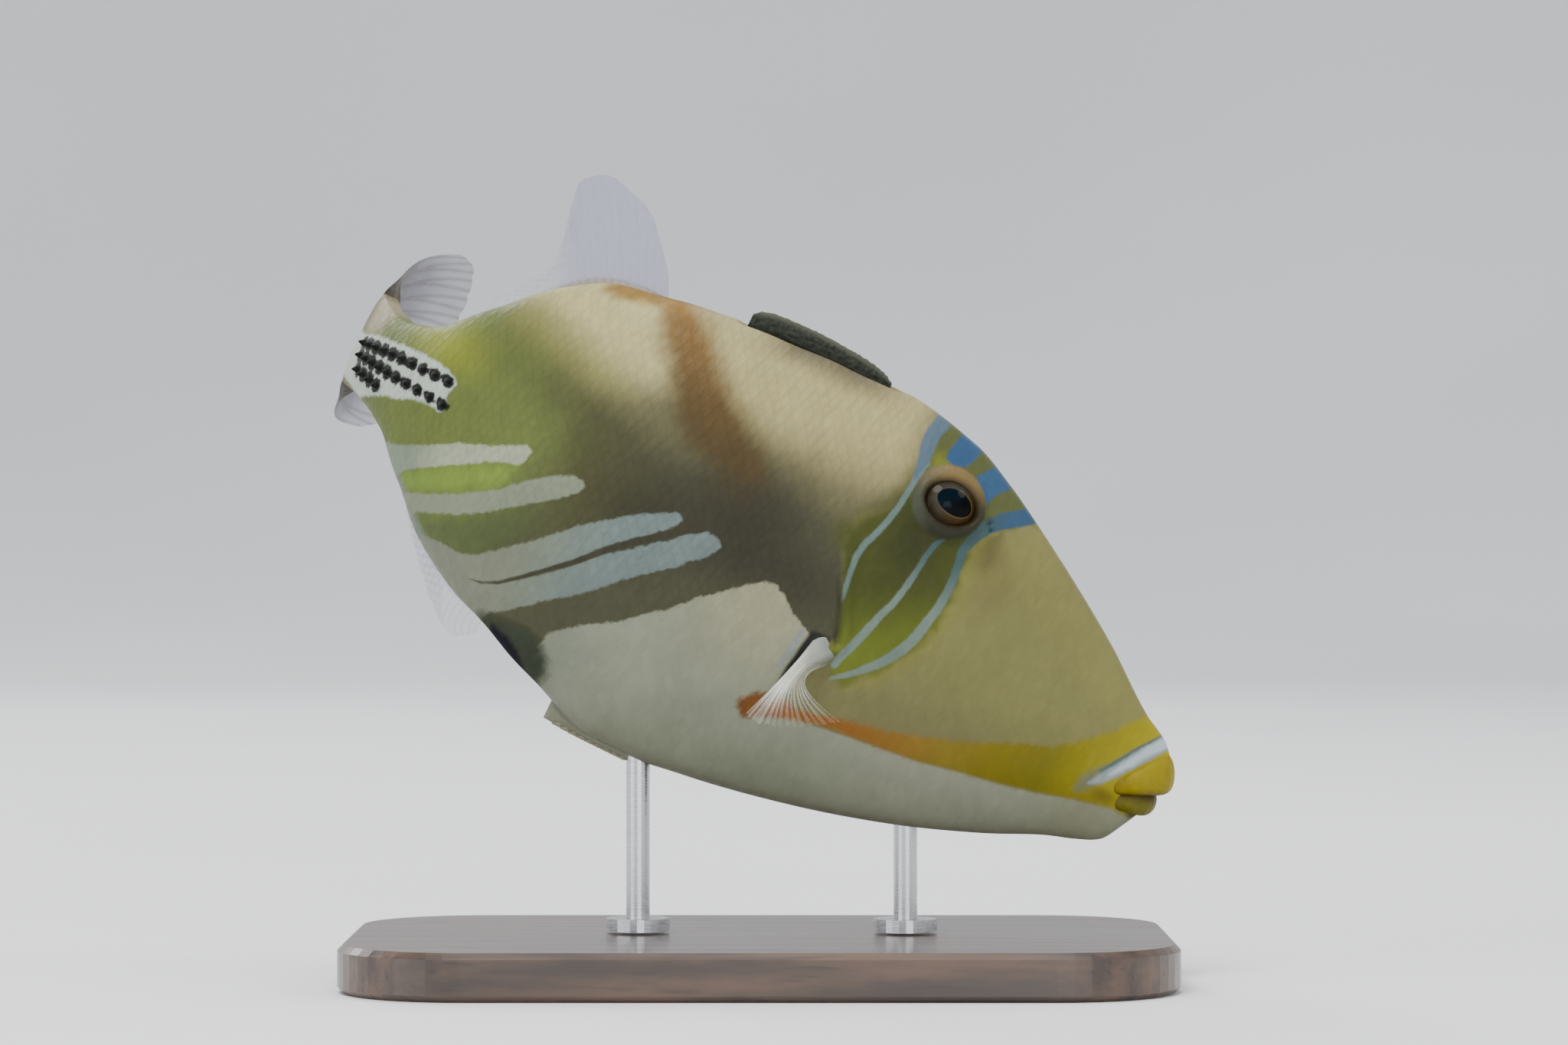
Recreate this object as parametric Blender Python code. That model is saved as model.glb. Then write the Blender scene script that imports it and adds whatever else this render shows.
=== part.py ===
"""A life-size picasso triggerfish, nose down with its tail swung away, on a plain display stand.

Sizes are in millimetres and become metres in mesh_object. The fish is drawn in its own measures:
s, the distance back from the snout along its bent midline; h, the height towards its back; and
w, the distance out to its left. place() turns these into the frame, whose origin is the centre
of the underside of the stand's base.
"""
import math

import bmesh
import bpy
import numpy as np

MM = 0.001
GAP = 0.3

# Pose: the head and front of the trunk are straight, the rest swings to the fish's left.
SNOUT = np.array([52.0, -3.0, 27.0])
NOSE_DOWN = math.radians(26)
BACK_TOWARDS_VIEWER = math.radians(7)
STANDARD_LENGTH = 130.0
BEND_START = 64.0
STALK_TURN = 74.0
BEND_POWER = 1.4
FIN_TURN = 60.0
CAUDAL_LENGTH = 26.0

# Parts along the midline. The head ends in a curve that the gill slit lies in.
GILL = 48.8
HEAD_STRAIGHT, TRUNK_STRAIGHT = 30.0, 60.0
STALK_START = 106.0
STALK_END = 131.0
RING_STEPS = 15
EDGE_FLAT = 0.9

EYE_S, EYE_H = 40.2, 18.4
EYE_RADIUS, EYE_DEPTH = 4.0, 3.0
EYE_SUNK = 1.7
LID_RADIUS, LID_TUBE = 4.4, 0.8

# The groove that the folded first dorsal fin lies in.
GROOVE_START, GROOVE_END = 52.6, 72.8
GROOVE_HALF, GROOVE_DEPTH = 1.5, 1.5

BASE_LENGTH, BASE_DEPTH, BASE_THICK = 104.0, 62.0, 6.0
BASE_CORNER, BASE_CHAMFER, CORNER_STEPS = 16.0, 0.8, 12
ROD_RADIUS, FOOT_RADIUS, FOOT_THICK = 1.5, 4.0, 1.6
ROD_STATIONS = {"stand_rod_front": 27.0, "stand_rod_rear": 61.0}
ROD_SUNK = 5.0


def through(*points):
    """A smooth function through (x, y) points, with no overshoot between them."""
    x, y = (np.array(values, float) for values in zip(*points))
    step = np.diff(x)
    rise = np.diff(y) / step
    slope = np.concatenate([[rise[0]], np.zeros(len(x) - 2), [rise[-1]]])
    for i in range(1, len(x) - 1):
        if rise[i - 1] * rise[i] > 0:
            a = 2 * step[i] + step[i - 1]
            b = step[i] + 2 * step[i - 1]
            slope[i] = (a + b) / (a / rise[i - 1] + b / rise[i])

    def value(at):
        at = np.clip(at, x[0], x[-1])
        i = np.clip(np.searchsorted(x, at) - 1, 0, len(x) - 2)
        t = (at - x[i]) / step[i]
        return (
            y[i] * (1 + 2 * t) * (1 - t) ** 2
            + y[i + 1] * t * t * (3 - 2 * t)
            + step[i] * t * (1 - t) * (slope[i] * (1 - t) - slope[i + 1] * t)
        )

    return value


# The outline from the side, the half width from above, and the height of the widest place.
BACK = through(
    (1.2, 1.3), (2.4, 2.5), (5.6, 4.3), (14, 10.6), (29, 20.1), (34, 22.9), (40, 25.6),
    (52, 27.7), (66, 27.4), (80, 25.7), (90, 23.6), (98, 18.6), (105, 12.6), (113, 7.0),
    (121, 5.7), (131, 6.4),
)
BELLY = through(
    (1.2, -6.6), (2.4, -9.0), (4.2, -12.0), (7, -13.4), (10.5, -14.6), (18, -18.0), (29, -22.1),
    (41, -25.4), (54, -27.9), (62, -28.8), (67, -28.9), (71, -28.1), (74, -26.9), (86, -22.3),
    (96, -18.6), (106, -12.1), (113, -7.8), (121, -6.2), (131, -6.4),
)
HALF_WIDTH = through(
    (1.2, 1.1), (2.4, 2.1), (4.2, 2.9), (8, 4.0), (20, 6.7), (35, 9.4), (50, 11.1), (62, 11.4),
    (75, 10.2), (88, 7.8), (100, 5.4), (112, 3.5), (122, 2.4), (131, 1.7),
)
WIDEST = through((1.2, -2.6), (10, -4.0), (30, -4.0), (60, -2.0), (90, 0.4), (131, 0.0))
ROUNDNESS = through((1.2, 1.0), (38, 1.0), (58, 1.2), (85, 1.25), (112, 1.05), (131, 1.0))
GILL_CURVE = through((-27, 41.5), (-9, 42.2), (-5, 43.0), (-2.4, 44.9), (2.4, 46.9), (6, 48.5),
                     (12, 48.8), (28, 48.8))
SLIT = through((-5, 0.0), (-3, 1.0), (5, 1.0), (7.5, 0.0))

# Rows of short spines on the tail stalk: where each starts and ends, and its height.
SPINE_SPACING = 2.5
SPINE_ROWS = (
    (102.7, 126.0, through((102.7, 3.0), (115, 1.7), (127, -0.1))),
    (101.9, 125.0, through((101.9, 0.1), (114, -0.6), (127, -1.6))),
    (116.0, 124.0, through((116, -3.0), (127, -3.2))),
)

# Fins: the stations of the base, and the rays' lengths, leans and sweeps from front to rear.
DORSAL_BASE = (82.8, 105.2)
DORSAL_RAY = through((0, 2.6), (0.05, 6.4), (0.1, 9.8), (0.2, 12.6), (0.3, 14.2), (0.4, 14.0),
                     (0.5, 13.2), (0.7, 10.8), (0.85, 9.6), (1, 8.2))
DORSAL_LEAN = through((0, 2), (0.4, 2), (0.5, 6), (0.6, 20), (0.7, 50), (0.8, 74), (1, 84))
DORSAL_SWEEP = through((0, 24), (0.1, 27), (0.2, 32), (0.4, 36), (0.6, 33), (0.8, 24), (1, 22))
ANAL_BASE = (86.5, 105.3)
ANAL_RAY = through((0, 3.5), (0.1, 7.5), (0.25, 11.0), (0.4, 11.5), (0.7, 9.0), (1, 5.5))
ANAL_LEAN = through((0, 60), (0.35, 68), (0.6, 86), (1, 90))
ANAL_SWEEP = 18
SOFT_BASE_THICK = (1.7, 1.5)
CAUDAL_ROOT = 5.9
CAUDAL_FAN = 22.0
CAUDAL_ROUND, CAUDAL_CORNER = 1.0, 5.0
CAUDAL_TWIST = (0.008, 0.003)
CAUDAL_SWELL = (1.3, 2.3)
PECTORAL_ROOT_TOP = (47.0, -2.8)
PECTORAL_ROOT_BOTTOM = (44.3, -5.0)
PECTORAL_FOLD_S, PECTORAL_FOLD_H, PECTORAL_FOLD_OUT = 49.2, -9.4, 3.6
PECTORAL_TIP_S = through((0, 51.5), (0.25, 49.9), (0.5, 46.8), (0.75, 43.6), (1, 40.4))
PECTORAL_TIP_H = through((0, -15.8), (0.25, -16.0), (0.5, -15.0), (0.75, -13.1), (1, -11.0))
PECTORAL_TIP_OUT = through((0, 2.4), (0.5, 4.6), (1, 5.6))
FLAP_FRONT, FLAP_REAR = 62.5, 74.0
FLAP_EDGE = through((62.5, -29.75), (68, -29.75), (74, -29.5))


def turn(s):
    """How far the midline has turned from the head's direction, in radians."""
    bend = np.clip((s - BEND_START) / (STANDARD_LENGTH - BEND_START), 0, 1) ** BEND_POWER
    curl = np.clip((s - STANDARD_LENGTH) / CAUDAL_LENGTH, 0, 1.2)
    return np.radians(STALK_TURN * bend + FIN_TURN * curl)


MIDLINE_S = np.linspace(-4, 170, 3481)
MIDLINE_STEP = MIDLINE_S[1] - MIDLINE_S[0]
MIDLINE_BACK = MIDLINE_S[0] + np.cumsum(np.cos(turn(MIDLINE_S))) * MIDLINE_STEP
MIDLINE_LEFT = np.cumsum(np.sin(turn(MIDLINE_S))) * MIDLINE_STEP
LEVEL_UP = np.array([math.sin(NOSE_DOWN), 0, math.cos(NOSE_DOWN)])
AWAY = np.array([0, 1, 0])
FORWARD = np.array([math.cos(NOSE_DOWN), 0, -math.sin(NOSE_DOWN)])
UP = LEVEL_UP * math.cos(BACK_TOWARDS_VIEWER) - AWAY * math.sin(BACK_TOWARDS_VIEWER)
LEFT = AWAY * math.cos(BACK_TOWARDS_VIEWER) + LEVEL_UP * math.sin(BACK_TOWARDS_VIEWER)


def place(s, h, w):
    """The point in the frame, in mm, of a point in the fish's own measures."""
    s, h, w = np.broadcast_arrays(*(np.asarray(value, float) for value in (s, h, w)))
    forward = w * np.sin(turn(s)) - np.interp(s, MIDLINE_S, MIDLINE_BACK)
    left = w * np.cos(turn(s)) + np.interp(s, MIDLINE_S, MIDLINE_LEFT)
    return SNOUT + forward[..., None] * FORWARD + left[..., None] * LEFT + h[..., None] * UP


def side_width(s, h):
    """The half width of the body at one height."""
    widest = WIDEST(s)
    reach = np.where(h > widest, BACK(s) - widest, widest - BELLY(s))
    share = np.clip(np.abs(h - widest) / reach, 0, 1)
    return EDGE_FLAT + (HALF_WIDTH(s) - EDGE_FLAT) * (1 - share**2) ** (ROUNDNESS(s) / 2)


def side_frame(s, h, side):
    """The body's surface point and unit outward, forward and upward directions there."""
    def surface(a, b):
        return place(a, b, side * side_width(a, b))

    point = surface(s, h)
    forward = surface(s - 0.5, h) - surface(s + 0.5, h)
    outward = np.cross(forward, surface(s, h + 0.5) - surface(s, h - 0.5)) * -side
    forward = forward / np.linalg.norm(forward)
    outward = outward / np.linalg.norm(outward)
    upward = np.cross(outward, forward) * -side
    return point, outward, forward, upward


def material(name, colour, roughness, metallic=0.0):
    made = bpy.data.materials.new(name)
    made.use_nodes = True
    shader = made.node_tree.nodes["Principled BSDF"]
    shader.inputs["Base Color"].default_value = (*colour, 1)
    shader.inputs["Roughness"].default_value = roughness
    shader.inputs["Metallic"].default_value = metallic
    return made


def mesh_object(name, points, faces, look=None):
    """A mesh object with its faces turned outwards. Points are in mm."""
    mesh = bpy.data.meshes.new(name)
    mesh.from_pydata((np.asarray(points) * MM).tolist(), [], faces)
    made = bpy.data.objects.new(name, mesh)
    bpy.context.scene.collection.objects.link(made)
    shape = bmesh.new()
    shape.from_mesh(mesh)
    bmesh.ops.recalc_face_normals(shape, faces=shape.faces)
    if shape.calc_volume(signed=True) < 0:
        bmesh.ops.reverse_faces(shape, faces=shape.faces)
    shape.to_mesh(mesh)
    shape.free()
    mesh.shade_smooth()
    mesh.set_sharp_from_angle(angle=math.radians(40))
    if look:
        mesh.materials.append(look)
    return made


def lofted(name, rings, look=None):
    """A closed body through rings of equal counts, each end closed by a fan to its middle."""
    rings = np.asarray(rings)
    count, around = rings.shape[:2]
    points = np.concatenate([rings.reshape(-1, 3), [rings[0].mean(0), rings[-1].mean(0)]])
    first_middle = count * around
    faces = []
    for i in range(count - 1):
        for k in range(around):
            a = i * around + k
            b = i * around + (k + 1) % around
            faces += [(a, b, b + around), (a, b + around, a + around)]
    for k in range(around):
        after = (k + 1) % around
        last = (count - 1) * around
        faces.append((k, after, first_middle))
        faces.append((last + k, last + after, first_middle + 1))
    return mesh_object(name, points, faces, look)


def body_ring(station, slit=0.0):
    """One section of the body: down the right side and up the left one. Near the gill slit the
    section is not flat but follows the slit's curve."""
    angle = np.linspace(0, math.pi, RING_STEPS + 1)
    straight = HEAD_STRAIGHT if station < GILL else TRUNK_STRAIGHT
    follow = np.clip((station - straight) / (GILL - straight), 0, 1)
    s = np.full(RING_STEPS + 1, station)
    for _ in range(6):
        widest = WIDEST(s)
        reach = np.where(np.cos(angle) > 0, BACK(s) - widest, widest - BELLY(s))
        h = widest + reach * np.cos(angle)
        s = station + follow * (GILL_CURVE(h) - GILL)
    w = EDGE_FLAT + (HALF_WIDTH(s) - EDGE_FLAT) * np.sin(angle) ** ROUNDNESS(s)
    w = w - slit * SLIT(h)
    return np.concatenate([place(s, h, -w), place(s, h, w)[::-1]])


def body_length(name, start, end, spacing, look, slits=(0.0, 0.0)):
    """A length of the body between two sections, with the gill slit at an end."""
    count = max(2, round((end - start) / spacing))
    stations = np.linspace(start, end, count + 1)
    rings = [body_ring(s) for s in stations]
    rings[0] = body_ring(start, slits[0])
    rings[-1] = body_ring(end, slits[1])
    return lofted(name, rings, look)


def tube(name, path, radii, sides, look=None, up=(0, 0, 1)):
    """A closed tube with rounded ends. radii gives (sideways, upwards) radius at each point."""
    path = np.asarray(path, float)
    along = np.gradient(path, axis=0)
    along /= np.linalg.norm(along, axis=1)[:, None]
    sideways = np.cross(along, np.asarray(up, float))
    sideways /= np.linalg.norm(sideways, axis=1)[:, None]
    upwards = np.cross(sideways, along)
    angle = np.arange(sides) * 2 * math.pi / sides
    rings = []
    for p, a, b, (ra, rb) in zip(path, sideways, upwards, radii):
        rings.append(p + np.outer(np.cos(angle) * ra, a) + np.outer(np.sin(angle) * rb, b))
    first, last = np.array(rings[0]), np.array(rings[-1])
    tip = 0.55 * min(radii[0])
    end = 0.55 * min(radii[-1])
    rings.insert(0, path[0] + (first - path[0]) * 0.5 - along[0] * tip)
    rings.append(path[-1] + (last - path[-1]) * 0.5 + along[-1] * end)
    return lofted(name, rings, look)


def ball(name, centre, axes, radii, segments, rings):
    """An ellipsoid with radii along three given axes."""
    shape = bmesh.new()
    bmesh.ops.create_uvsphere(shape, u_segments=segments, v_segments=rings, radius=1)
    points = np.array([v.co for v in shape.verts])
    turned = centre + points @ (np.asarray(axes) * np.asarray(radii)[:, None])
    faces = [[v.index for v in f.verts] for f in shape.faces]
    shape.free()
    return mesh_object(name, turned, faces)


def rim(name, centre, outward, forward, radius, thick, around, sides):
    """A ring that lies on the body round a centre."""
    across = np.cross(outward, forward)
    turn_angle = np.arange(around) * 2 * math.pi / around
    section = np.arange(sides) * 2 * math.pi / sides
    points = []
    for a in turn_angle:
        direction = math.cos(a) * forward + math.sin(a) * across
        for b in section:
            points.append(
                centre + direction * (radius + thick * math.cos(b)) + outward * thick * math.sin(b)
            )
    faces = []
    for i in range(around):
        for k in range(sides):
            j, m = (i + 1) % around, (k + 1) % sides
            faces.append((i * sides + k, j * sides + k, j * sides + m, i * sides + m))
    return mesh_object(name, points, faces)


def fin(name, ray_point, rays, steps, thickness, look):
    """A fin with its rays as ridges. ray_point(u, v) is the point v of the way out along the ray
    that stands u of the way along the base; thickness(u, v) is (at a ray, between two rays)."""
    columns = 2 * rays - 1
    grid = np.zeros((columns, steps + 1, 3))
    half = np.zeros((columns, steps + 1, 1))
    for i in range(columns):
        between = i % 2
        for j in range(steps + 1):
            u, v = i / (columns - 1), j / steps
            grid[i, j] = ray_point(u, v * (1 - 0.035 * between))
            half[i, j] = thickness(u, v)[between] / 2
    normal = np.cross(np.gradient(grid, axis=0), np.gradient(grid, axis=1))
    normal /= np.linalg.norm(normal, axis=2)[..., None]
    points = np.concatenate([(grid + normal * half).reshape(-1, 3),
                             (grid - normal * half).reshape(-1, 3)])
    other = columns * (steps + 1)

    def at(i, j):
        return i * (steps + 1) + j

    faces = []
    for i in range(columns - 1):
        for j in range(steps):
            a, b, c, d = at(i, j), at(i + 1, j), at(i + 1, j + 1), at(i, j + 1)
            pair = [(a, b, c), (a, c, d)] if i % 2 else [(a, b, d), (b, c, d)]
            faces += pair
            faces += [tuple(other + k for k in reversed(face)) for face in pair]
    border = [at(i, 0) for i in range(columns)] + [at(columns - 1, j) for j in range(1, steps + 1)]
    border += [at(i, steps) for i in range(columns - 2, -1, -1)]
    border += [at(0, j) for j in range(steps - 1, 0, -1)]
    for a, b in zip(border, border[1:] + border[:1]):
        faces += [(b, a, other + a), (b, other + a, other + b)]
    return mesh_object(name, points, faces, look)


def combine(target, pieces, operation):
    """Joins pieces to the target, or cuts them from it, and keeps the largest closed surface."""
    group = bpy.data.collections.new(target.name + "_pieces")
    bpy.context.scene.collection.children.link(group)
    for piece in pieces:
        bpy.context.scene.collection.objects.unlink(piece)
        group.objects.link(piece)
    joint = target.modifiers.new("Pieces", "BOOLEAN")
    joint.operation = operation
    joint.operand_type = "COLLECTION"
    joint.collection = group
    joint.solver = "EXACT"
    bpy.context.view_layer.objects.active = target
    bpy.ops.object.modifier_apply(modifier=joint.name)
    for piece in pieces:
        bpy.data.objects.remove(piece)
    bpy.data.collections.remove(group)
    keep_largest(target)


def keep_largest(target):
    shape = bmesh.new()
    shape.from_mesh(target.data)
    left = set(shape.verts)
    shells = []
    while left:
        seed = left.pop()
        shell, edge = {seed}, [seed]
        while edge:
            for link in edge.pop().link_edges:
                for vert in link.verts:
                    if vert in left:
                        left.remove(vert)
                        shell.add(vert)
                        edge.append(vert)
        shells.append(shell)
    shells.sort(key=len)
    bmesh.ops.delete(shape, geom=[v for shell in shells[:-1] for v in shell], context="VERTS")
    shape.to_mesh(target.data)
    shape.free()


def lip(name, front, corner, half_width, thick_front, thick_corner):
    """A roll round the snout from one corner of the mouth to the other. Its sections stand in
    planes through an upright line behind the mouth's middle."""
    rings = []
    for degrees in (-98, *range(-90, 91, 15), 98):
        share = abs(degrees) / 90
        a = math.radians(degrees)
        along = 1 - math.cos(min(abs(a), math.pi / 2))
        h = front[1] + (corner[1] - front[1]) * along
        thick = [f + (c - f) * share for f, c in zip(thick_front, thick_corner)]
        if share > 1:
            thick = [t * 0.5 for t in thick]
        ring = []
        for k in range(10):
            b = math.radians(36 * k)
            out = thick[0] * math.cos(b)
            s = corner[0] - (corner[0] - front[0] + out) * math.cos(a)
            ring.append(place(s, h + thick[1] * math.sin(b), (half_width + out) * math.sin(a)))
        rings.append(ring)
    return lofted(name, rings)


def lips():
    """The upper lip hangs over the lower one, and the crease between them is the mouth's line."""
    return [
        lip("upper_lip", (0.9, -0.4), (5.2, -4.7), 2.7, (1.8, 2.1), (1.2, 1.3)),
        lip("lower_lip", (1.6, -5.5), (4.8, -7.0), 2.4, (1.4, 1.45), (1.0, 1.0)),
    ]


def head_details():
    pieces = lips()
    for side in (-1, 1):
        point, outward, forward, _ = side_frame(EYE_S, EYE_H, side)
        pieces.append(rim("lid", point - outward * 0.25, outward, forward,
                          LID_RADIUS, LID_TUBE, 28, 8))
        for step in (0.0, 1.7):
            spot, out, fore, _ = side_frame(34.4 - 0.3 * step, 18.2 - 0.4 * step, side)
            pieces.append(rim("nostril", spot + out * 0.02, out, fore, 0.55, 0.28, 10, 6))
    return pieces


def make_head(look):
    head = body_length("head", 1.2, GILL - GAP / 2, 2.0, look, slits=(0.0, 0.9))
    combine(head, head_details(), "UNION")
    sockets = []
    for side in (-1, 1):
        point, outward, forward, upward = side_frame(EYE_S, EYE_H, side)
        radii = (EYE_RADIUS + GAP, EYE_RADIUS + GAP, EYE_DEPTH + GAP)
        axes = (forward, upward, outward)
        sockets.append(ball("socket", point - outward * EYE_SUNK, axes, radii, 24, 14))
    sockets.append(rod_hole("stand_rod_front"))
    combine(head, sockets, "DIFFERENCE")


def make_eyes(look):
    for side, name in ((-1, "eye_right"), (1, "eye_left")):
        point, outward, forward, upward = side_frame(EYE_S, EYE_H, side)
        radii = (EYE_RADIUS, EYE_RADIUS, EYE_DEPTH)
        centre = point - outward * EYE_SUNK
        ball(name, centre, (forward, upward, outward), radii, 20, 12).data.materials.append(look)


def fin_groove():
    """The space cut from the back, its floor sloping up to the skin at both ends."""
    rings = []
    for s in (GROOVE_START - 1.2, *np.linspace(GROOVE_START, GROOVE_END, 8), GROOVE_END + 1.2):
        ends = s < GROOVE_START or s > GROOVE_END
        floor = BACK(s) + (0.3 if ends else -GROOVE_DEPTH)
        corners = ((floor, -GROOVE_HALF), (floor, GROOVE_HALF), (BACK(s) + 3, GROOVE_HALF),
                   (BACK(s) + 3, -GROOVE_HALF))
        rings.append([place(s, h, w) for h, w in corners])
    return lofted("groove", rings)


def make_trunk(look):
    trunk = body_length("trunk", GILL + GAP / 2, STALK_START - GAP / 2, 2.2, look,
                        slits=(0.9, 0.0))
    combine(trunk, stalk_spines(0.0, STALK_START - GAP / 2), "UNION")
    combine(trunk, [rod_hole("stand_rod_rear"), fin_groove()], "DIFFERENCE")


def stalk_spine(s, h, side):
    """One short spine of the tail stalk's rows, leaning forward, its root sunk in the skin."""
    point, outward, forward, upward = side_frame(s, h, side)
    root, tip, sides = 0.5, 1.0, 5
    angle = np.arange(sides) * 2 * math.pi / sides
    ring = [point - outward * 0.4 + root * (math.cos(a) * forward + math.sin(a) * upward)
            for a in angle]
    top = point + outward * tip + forward * 0.55
    points = ring + [top]
    faces = [tuple(reversed(range(sides)))]
    faces += [(k, (k + 1) % sides, sides) for k in range(sides)]
    return mesh_object("spine", points, faces)


def stalk_spines(first, last):
    """The spines whose stations lie between two others."""
    return [
        stalk_spine(s, height(s), side)
        for side in (-1, 1)
        for start, end, height in SPINE_ROWS
        for s in np.arange(start, end, SPINE_SPACING)
        if first < s < last
    ]


def make_stalk(look):
    stalk = body_length("tail_stalk", STALK_START + GAP / 2, STALK_END - GAP / 2, 2.2, look)
    combine(stalk, stalk_spines(STALK_START + GAP / 2, STALK_END), "UNION")


def leaning_ray(start, length, sweep, lean, up, v):
    """A point of a fin ray that leaves the body upright and bends over by the lean, in degrees.
    up is 1 for a fin on the back and -1 for one on the belly."""
    steps = 12
    s, h, w = start
    for i in range(steps):
        over = math.radians(lean) * min(1.0, (i + 0.5) / steps * 1.6)
        move = length / steps * min(1.0, max(0.0, v * steps - i))
        s += move * math.sin(math.radians(sweep)) * (0.35 + 0.65 * math.cos(over))
        h += up * move * math.cos(math.radians(sweep)) * math.cos(over)
        w += move * math.sin(over)
    return place(s, h, w)


def soft_thickness(u, v):
    """Thick at the fleshy base, then membrane with the rays as ridges."""
    fleshy = max(0.0, 1 - v / 0.22)
    ray, skin = (0.95 - 0.2 * v, 0.55 - 0.05 * v)
    at_ray, between = SOFT_BASE_THICK
    return (ray + (at_ray - ray) * fleshy, skin + (between - skin) * fleshy)


def make_second_dorsal(look):
    def ray(u, v):
        s = DORSAL_BASE[0] + (DORSAL_BASE[1] - DORSAL_BASE[0]) * u
        start = (s, BACK(s) + GAP, 0)
        return leaning_ray(start, DORSAL_RAY(u), DORSAL_SWEEP(u), DORSAL_LEAN(u), 1, v)

    fin("second_dorsal_fin", ray, 15, 8, soft_thickness, look)


def make_anal(look):
    def ray(u, v):
        s = ANAL_BASE[0] + (ANAL_BASE[1] - ANAL_BASE[0]) * u
        start = (s, BELLY(s) - GAP, 0)
        return leaning_ray(start, ANAL_RAY(u), ANAL_SWEEP, ANAL_LEAN(u), -1, v)

    fin("anal_fin", ray, 13, 7, soft_thickness, look)


def make_caudal(look):
    """The tail fin: rays fan out from the stalk, and the fin curls on round past it. Its twist
    and its outline's swell are given above and below the midline."""
    def ray(u, v):
        across = 2 * u - 1
        fan = math.radians(CAUDAL_FAN) * across
        out = v * (CAUDAL_LENGTH - CAUDAL_ROUND * across**2 - CAUDAL_CORNER * across**6)
        swell, twist = CAUDAL_SWELL[across < 0], CAUDAL_TWIST[across < 0]
        h = (CAUDAL_ROOT + swell * math.sin(math.pi * v)) * across + out * math.sin(fan)
        return place(STALK_END + GAP / 2 + out * math.cos(fan), h, twist * h * out)

    def thickness(u, v):
        fleshy = max(0.0, 1 - v / 0.3)
        ray_thick, skin = 1.0 - 0.35 * v, 0.6 - 0.1 * v
        edge = 1.9 - 0.9 * abs(2 * u - 1)
        return (ray_thick + edge * fleshy, skin + edge * fleshy)

    fin("caudal_fin", ray, 12, 11, thickness, look)


def make_pectorals(look):
    """Each fin hangs back and down from behind its gill slit. Its rays bend together through a
    fold and part again towards their tips."""
    fold_s, fold_h = PECTORAL_FOLD_S, PECTORAL_FOLD_H
    for side, name in ((-1, "pectoral_fin_right"), (1, "pectoral_fin_left")):
        outward = side_frame(46.0, -4.0, side)[1]
        fold_w = side_width(fold_s, fold_h) + PECTORAL_FOLD_OUT
        fold = place(fold_s, fold_h, side * fold_w)

        def ray(u, v, side=side, outward=outward, fold=fold):
            s, h = (a + (b - a) * u for a, b in zip(PECTORAL_ROOT_TOP, PECTORAL_ROOT_BOTTOM))
            root = place(s, h, side * side_width(s, h)) + outward * 2 * GAP
            s, h = PECTORAL_TIP_S(u), PECTORAL_TIP_H(u)
            tip = place(s, h, side * (side_width(s, h) + PECTORAL_TIP_OUT(u)))
            return root * (1 - v) ** 2 + fold * 2 * v * (1 - v) + tip * v**2

        def thickness(u, v):
            fleshy = max(0.0, 1 - v / 0.25)
            return (0.8 - 0.15 * v + 0.7 * fleshy, 0.55 - 0.05 * v + 0.8 * fleshy)

        fin(name, ray, 9, 8, thickness, look)


def make_first_dorsal(look):
    """The first dorsal fin lies folded back in its groove, its stout rough spine on top."""
    spine_s = np.linspace(53.6, 71.9, 9)
    spine_h = through((53.6, 27.5), (56, 28.0), (60, 28.5), (66, 28.7), (71.9, 28.0))(spine_s)
    radii = [(1.15 - 0.45 * t**2, 1.0 - 0.35 * t**2) for t in np.linspace(0, 1, 9)]
    spine = tube("first_dorsal_fin", place(spine_s, spine_h, 0), radii, 10, look, up=UP)
    web_rings = []
    for s in np.linspace(55.4, 70.0, 8):
        floor = BACK(s) - GROOVE_DEPTH + 1.3 * GAP
        corners = [(floor, -0.6), (floor, 0.6), (28.3, 0.45), (28.3, -0.45)]
        web_rings.append([place(s, h, w) for h, w in corners])
    pieces = [lofted("web", web_rings)]
    for s, length in ((58.5, 10.5), (63.5, 6.0)):
        path = [place(s + length * t, 26.95 + 0.3 * t, 0) for t in np.linspace(0, 1, 5)]
        pieces.append(tube("spinelet", path, [(0.85 - 0.25 * t, 0.4) for t in
                                              np.linspace(0, 1, 5)], 6, up=UP))
    combine(spine, pieces, "UNION")


def make_pelvic_flap(look):
    """The keel of skin behind the pelvic bone, with the bone's rough barbed end on its edge."""
    rings = []
    for s in np.linspace(FLAP_FRONT, FLAP_REAR, 7):
        top, low = BELLY(s) - GAP, FLAP_EDGE(s)
        thin = 0.95 - 0.45 * (s - FLAP_FRONT) / (FLAP_REAR - FLAP_FRONT)
        section = [(top, thin), (low + 0.25, 0.7 * thin), (low, 0.3 * thin)]
        ring = [(h, -w) for h, w in section] + [(h, w) for h, w in reversed(section)]
        rings.append([place(s, h, w) for h, w in ring])
    flap = lofted("pelvic_flap", rings, look)
    barbs = []
    for at in (63.6, 65.2, 66.8, 68.4):
        middle = FLAP_EDGE(at) + 0.3
        for side in (-1, 0, 1):
            root = [place(at + a, middle + b, side * 0.25) for a, b in
                    ((-0.55, -0.25), (0.55, -0.25), (0.55, 0.25), (-0.55, 0.25))]
            root = [p + np.array([0, 0.15 * (k % 2), 0]) for k, p in enumerate(root)]
            tip = place(at + 1.0, middle - 0.75 + 0.3 * abs(side), side * 1.2)
            barbs.append(mesh_object("barb", root + [tip],
                                     [(3, 2, 1, 0), (0, 1, 4), (1, 2, 4), (2, 3, 4), (3, 0, 4)]))
    combine(flap, barbs, "UNION")


def cylinder(name, x, y, low, high, radius, sides=20):
    angle = np.arange(sides) * 2 * math.pi / sides
    rings = [[(x + radius * math.cos(a), y + radius * math.sin(a), z) for a in angle]
             for z in (low, high)]
    return lofted(name, rings)


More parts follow.
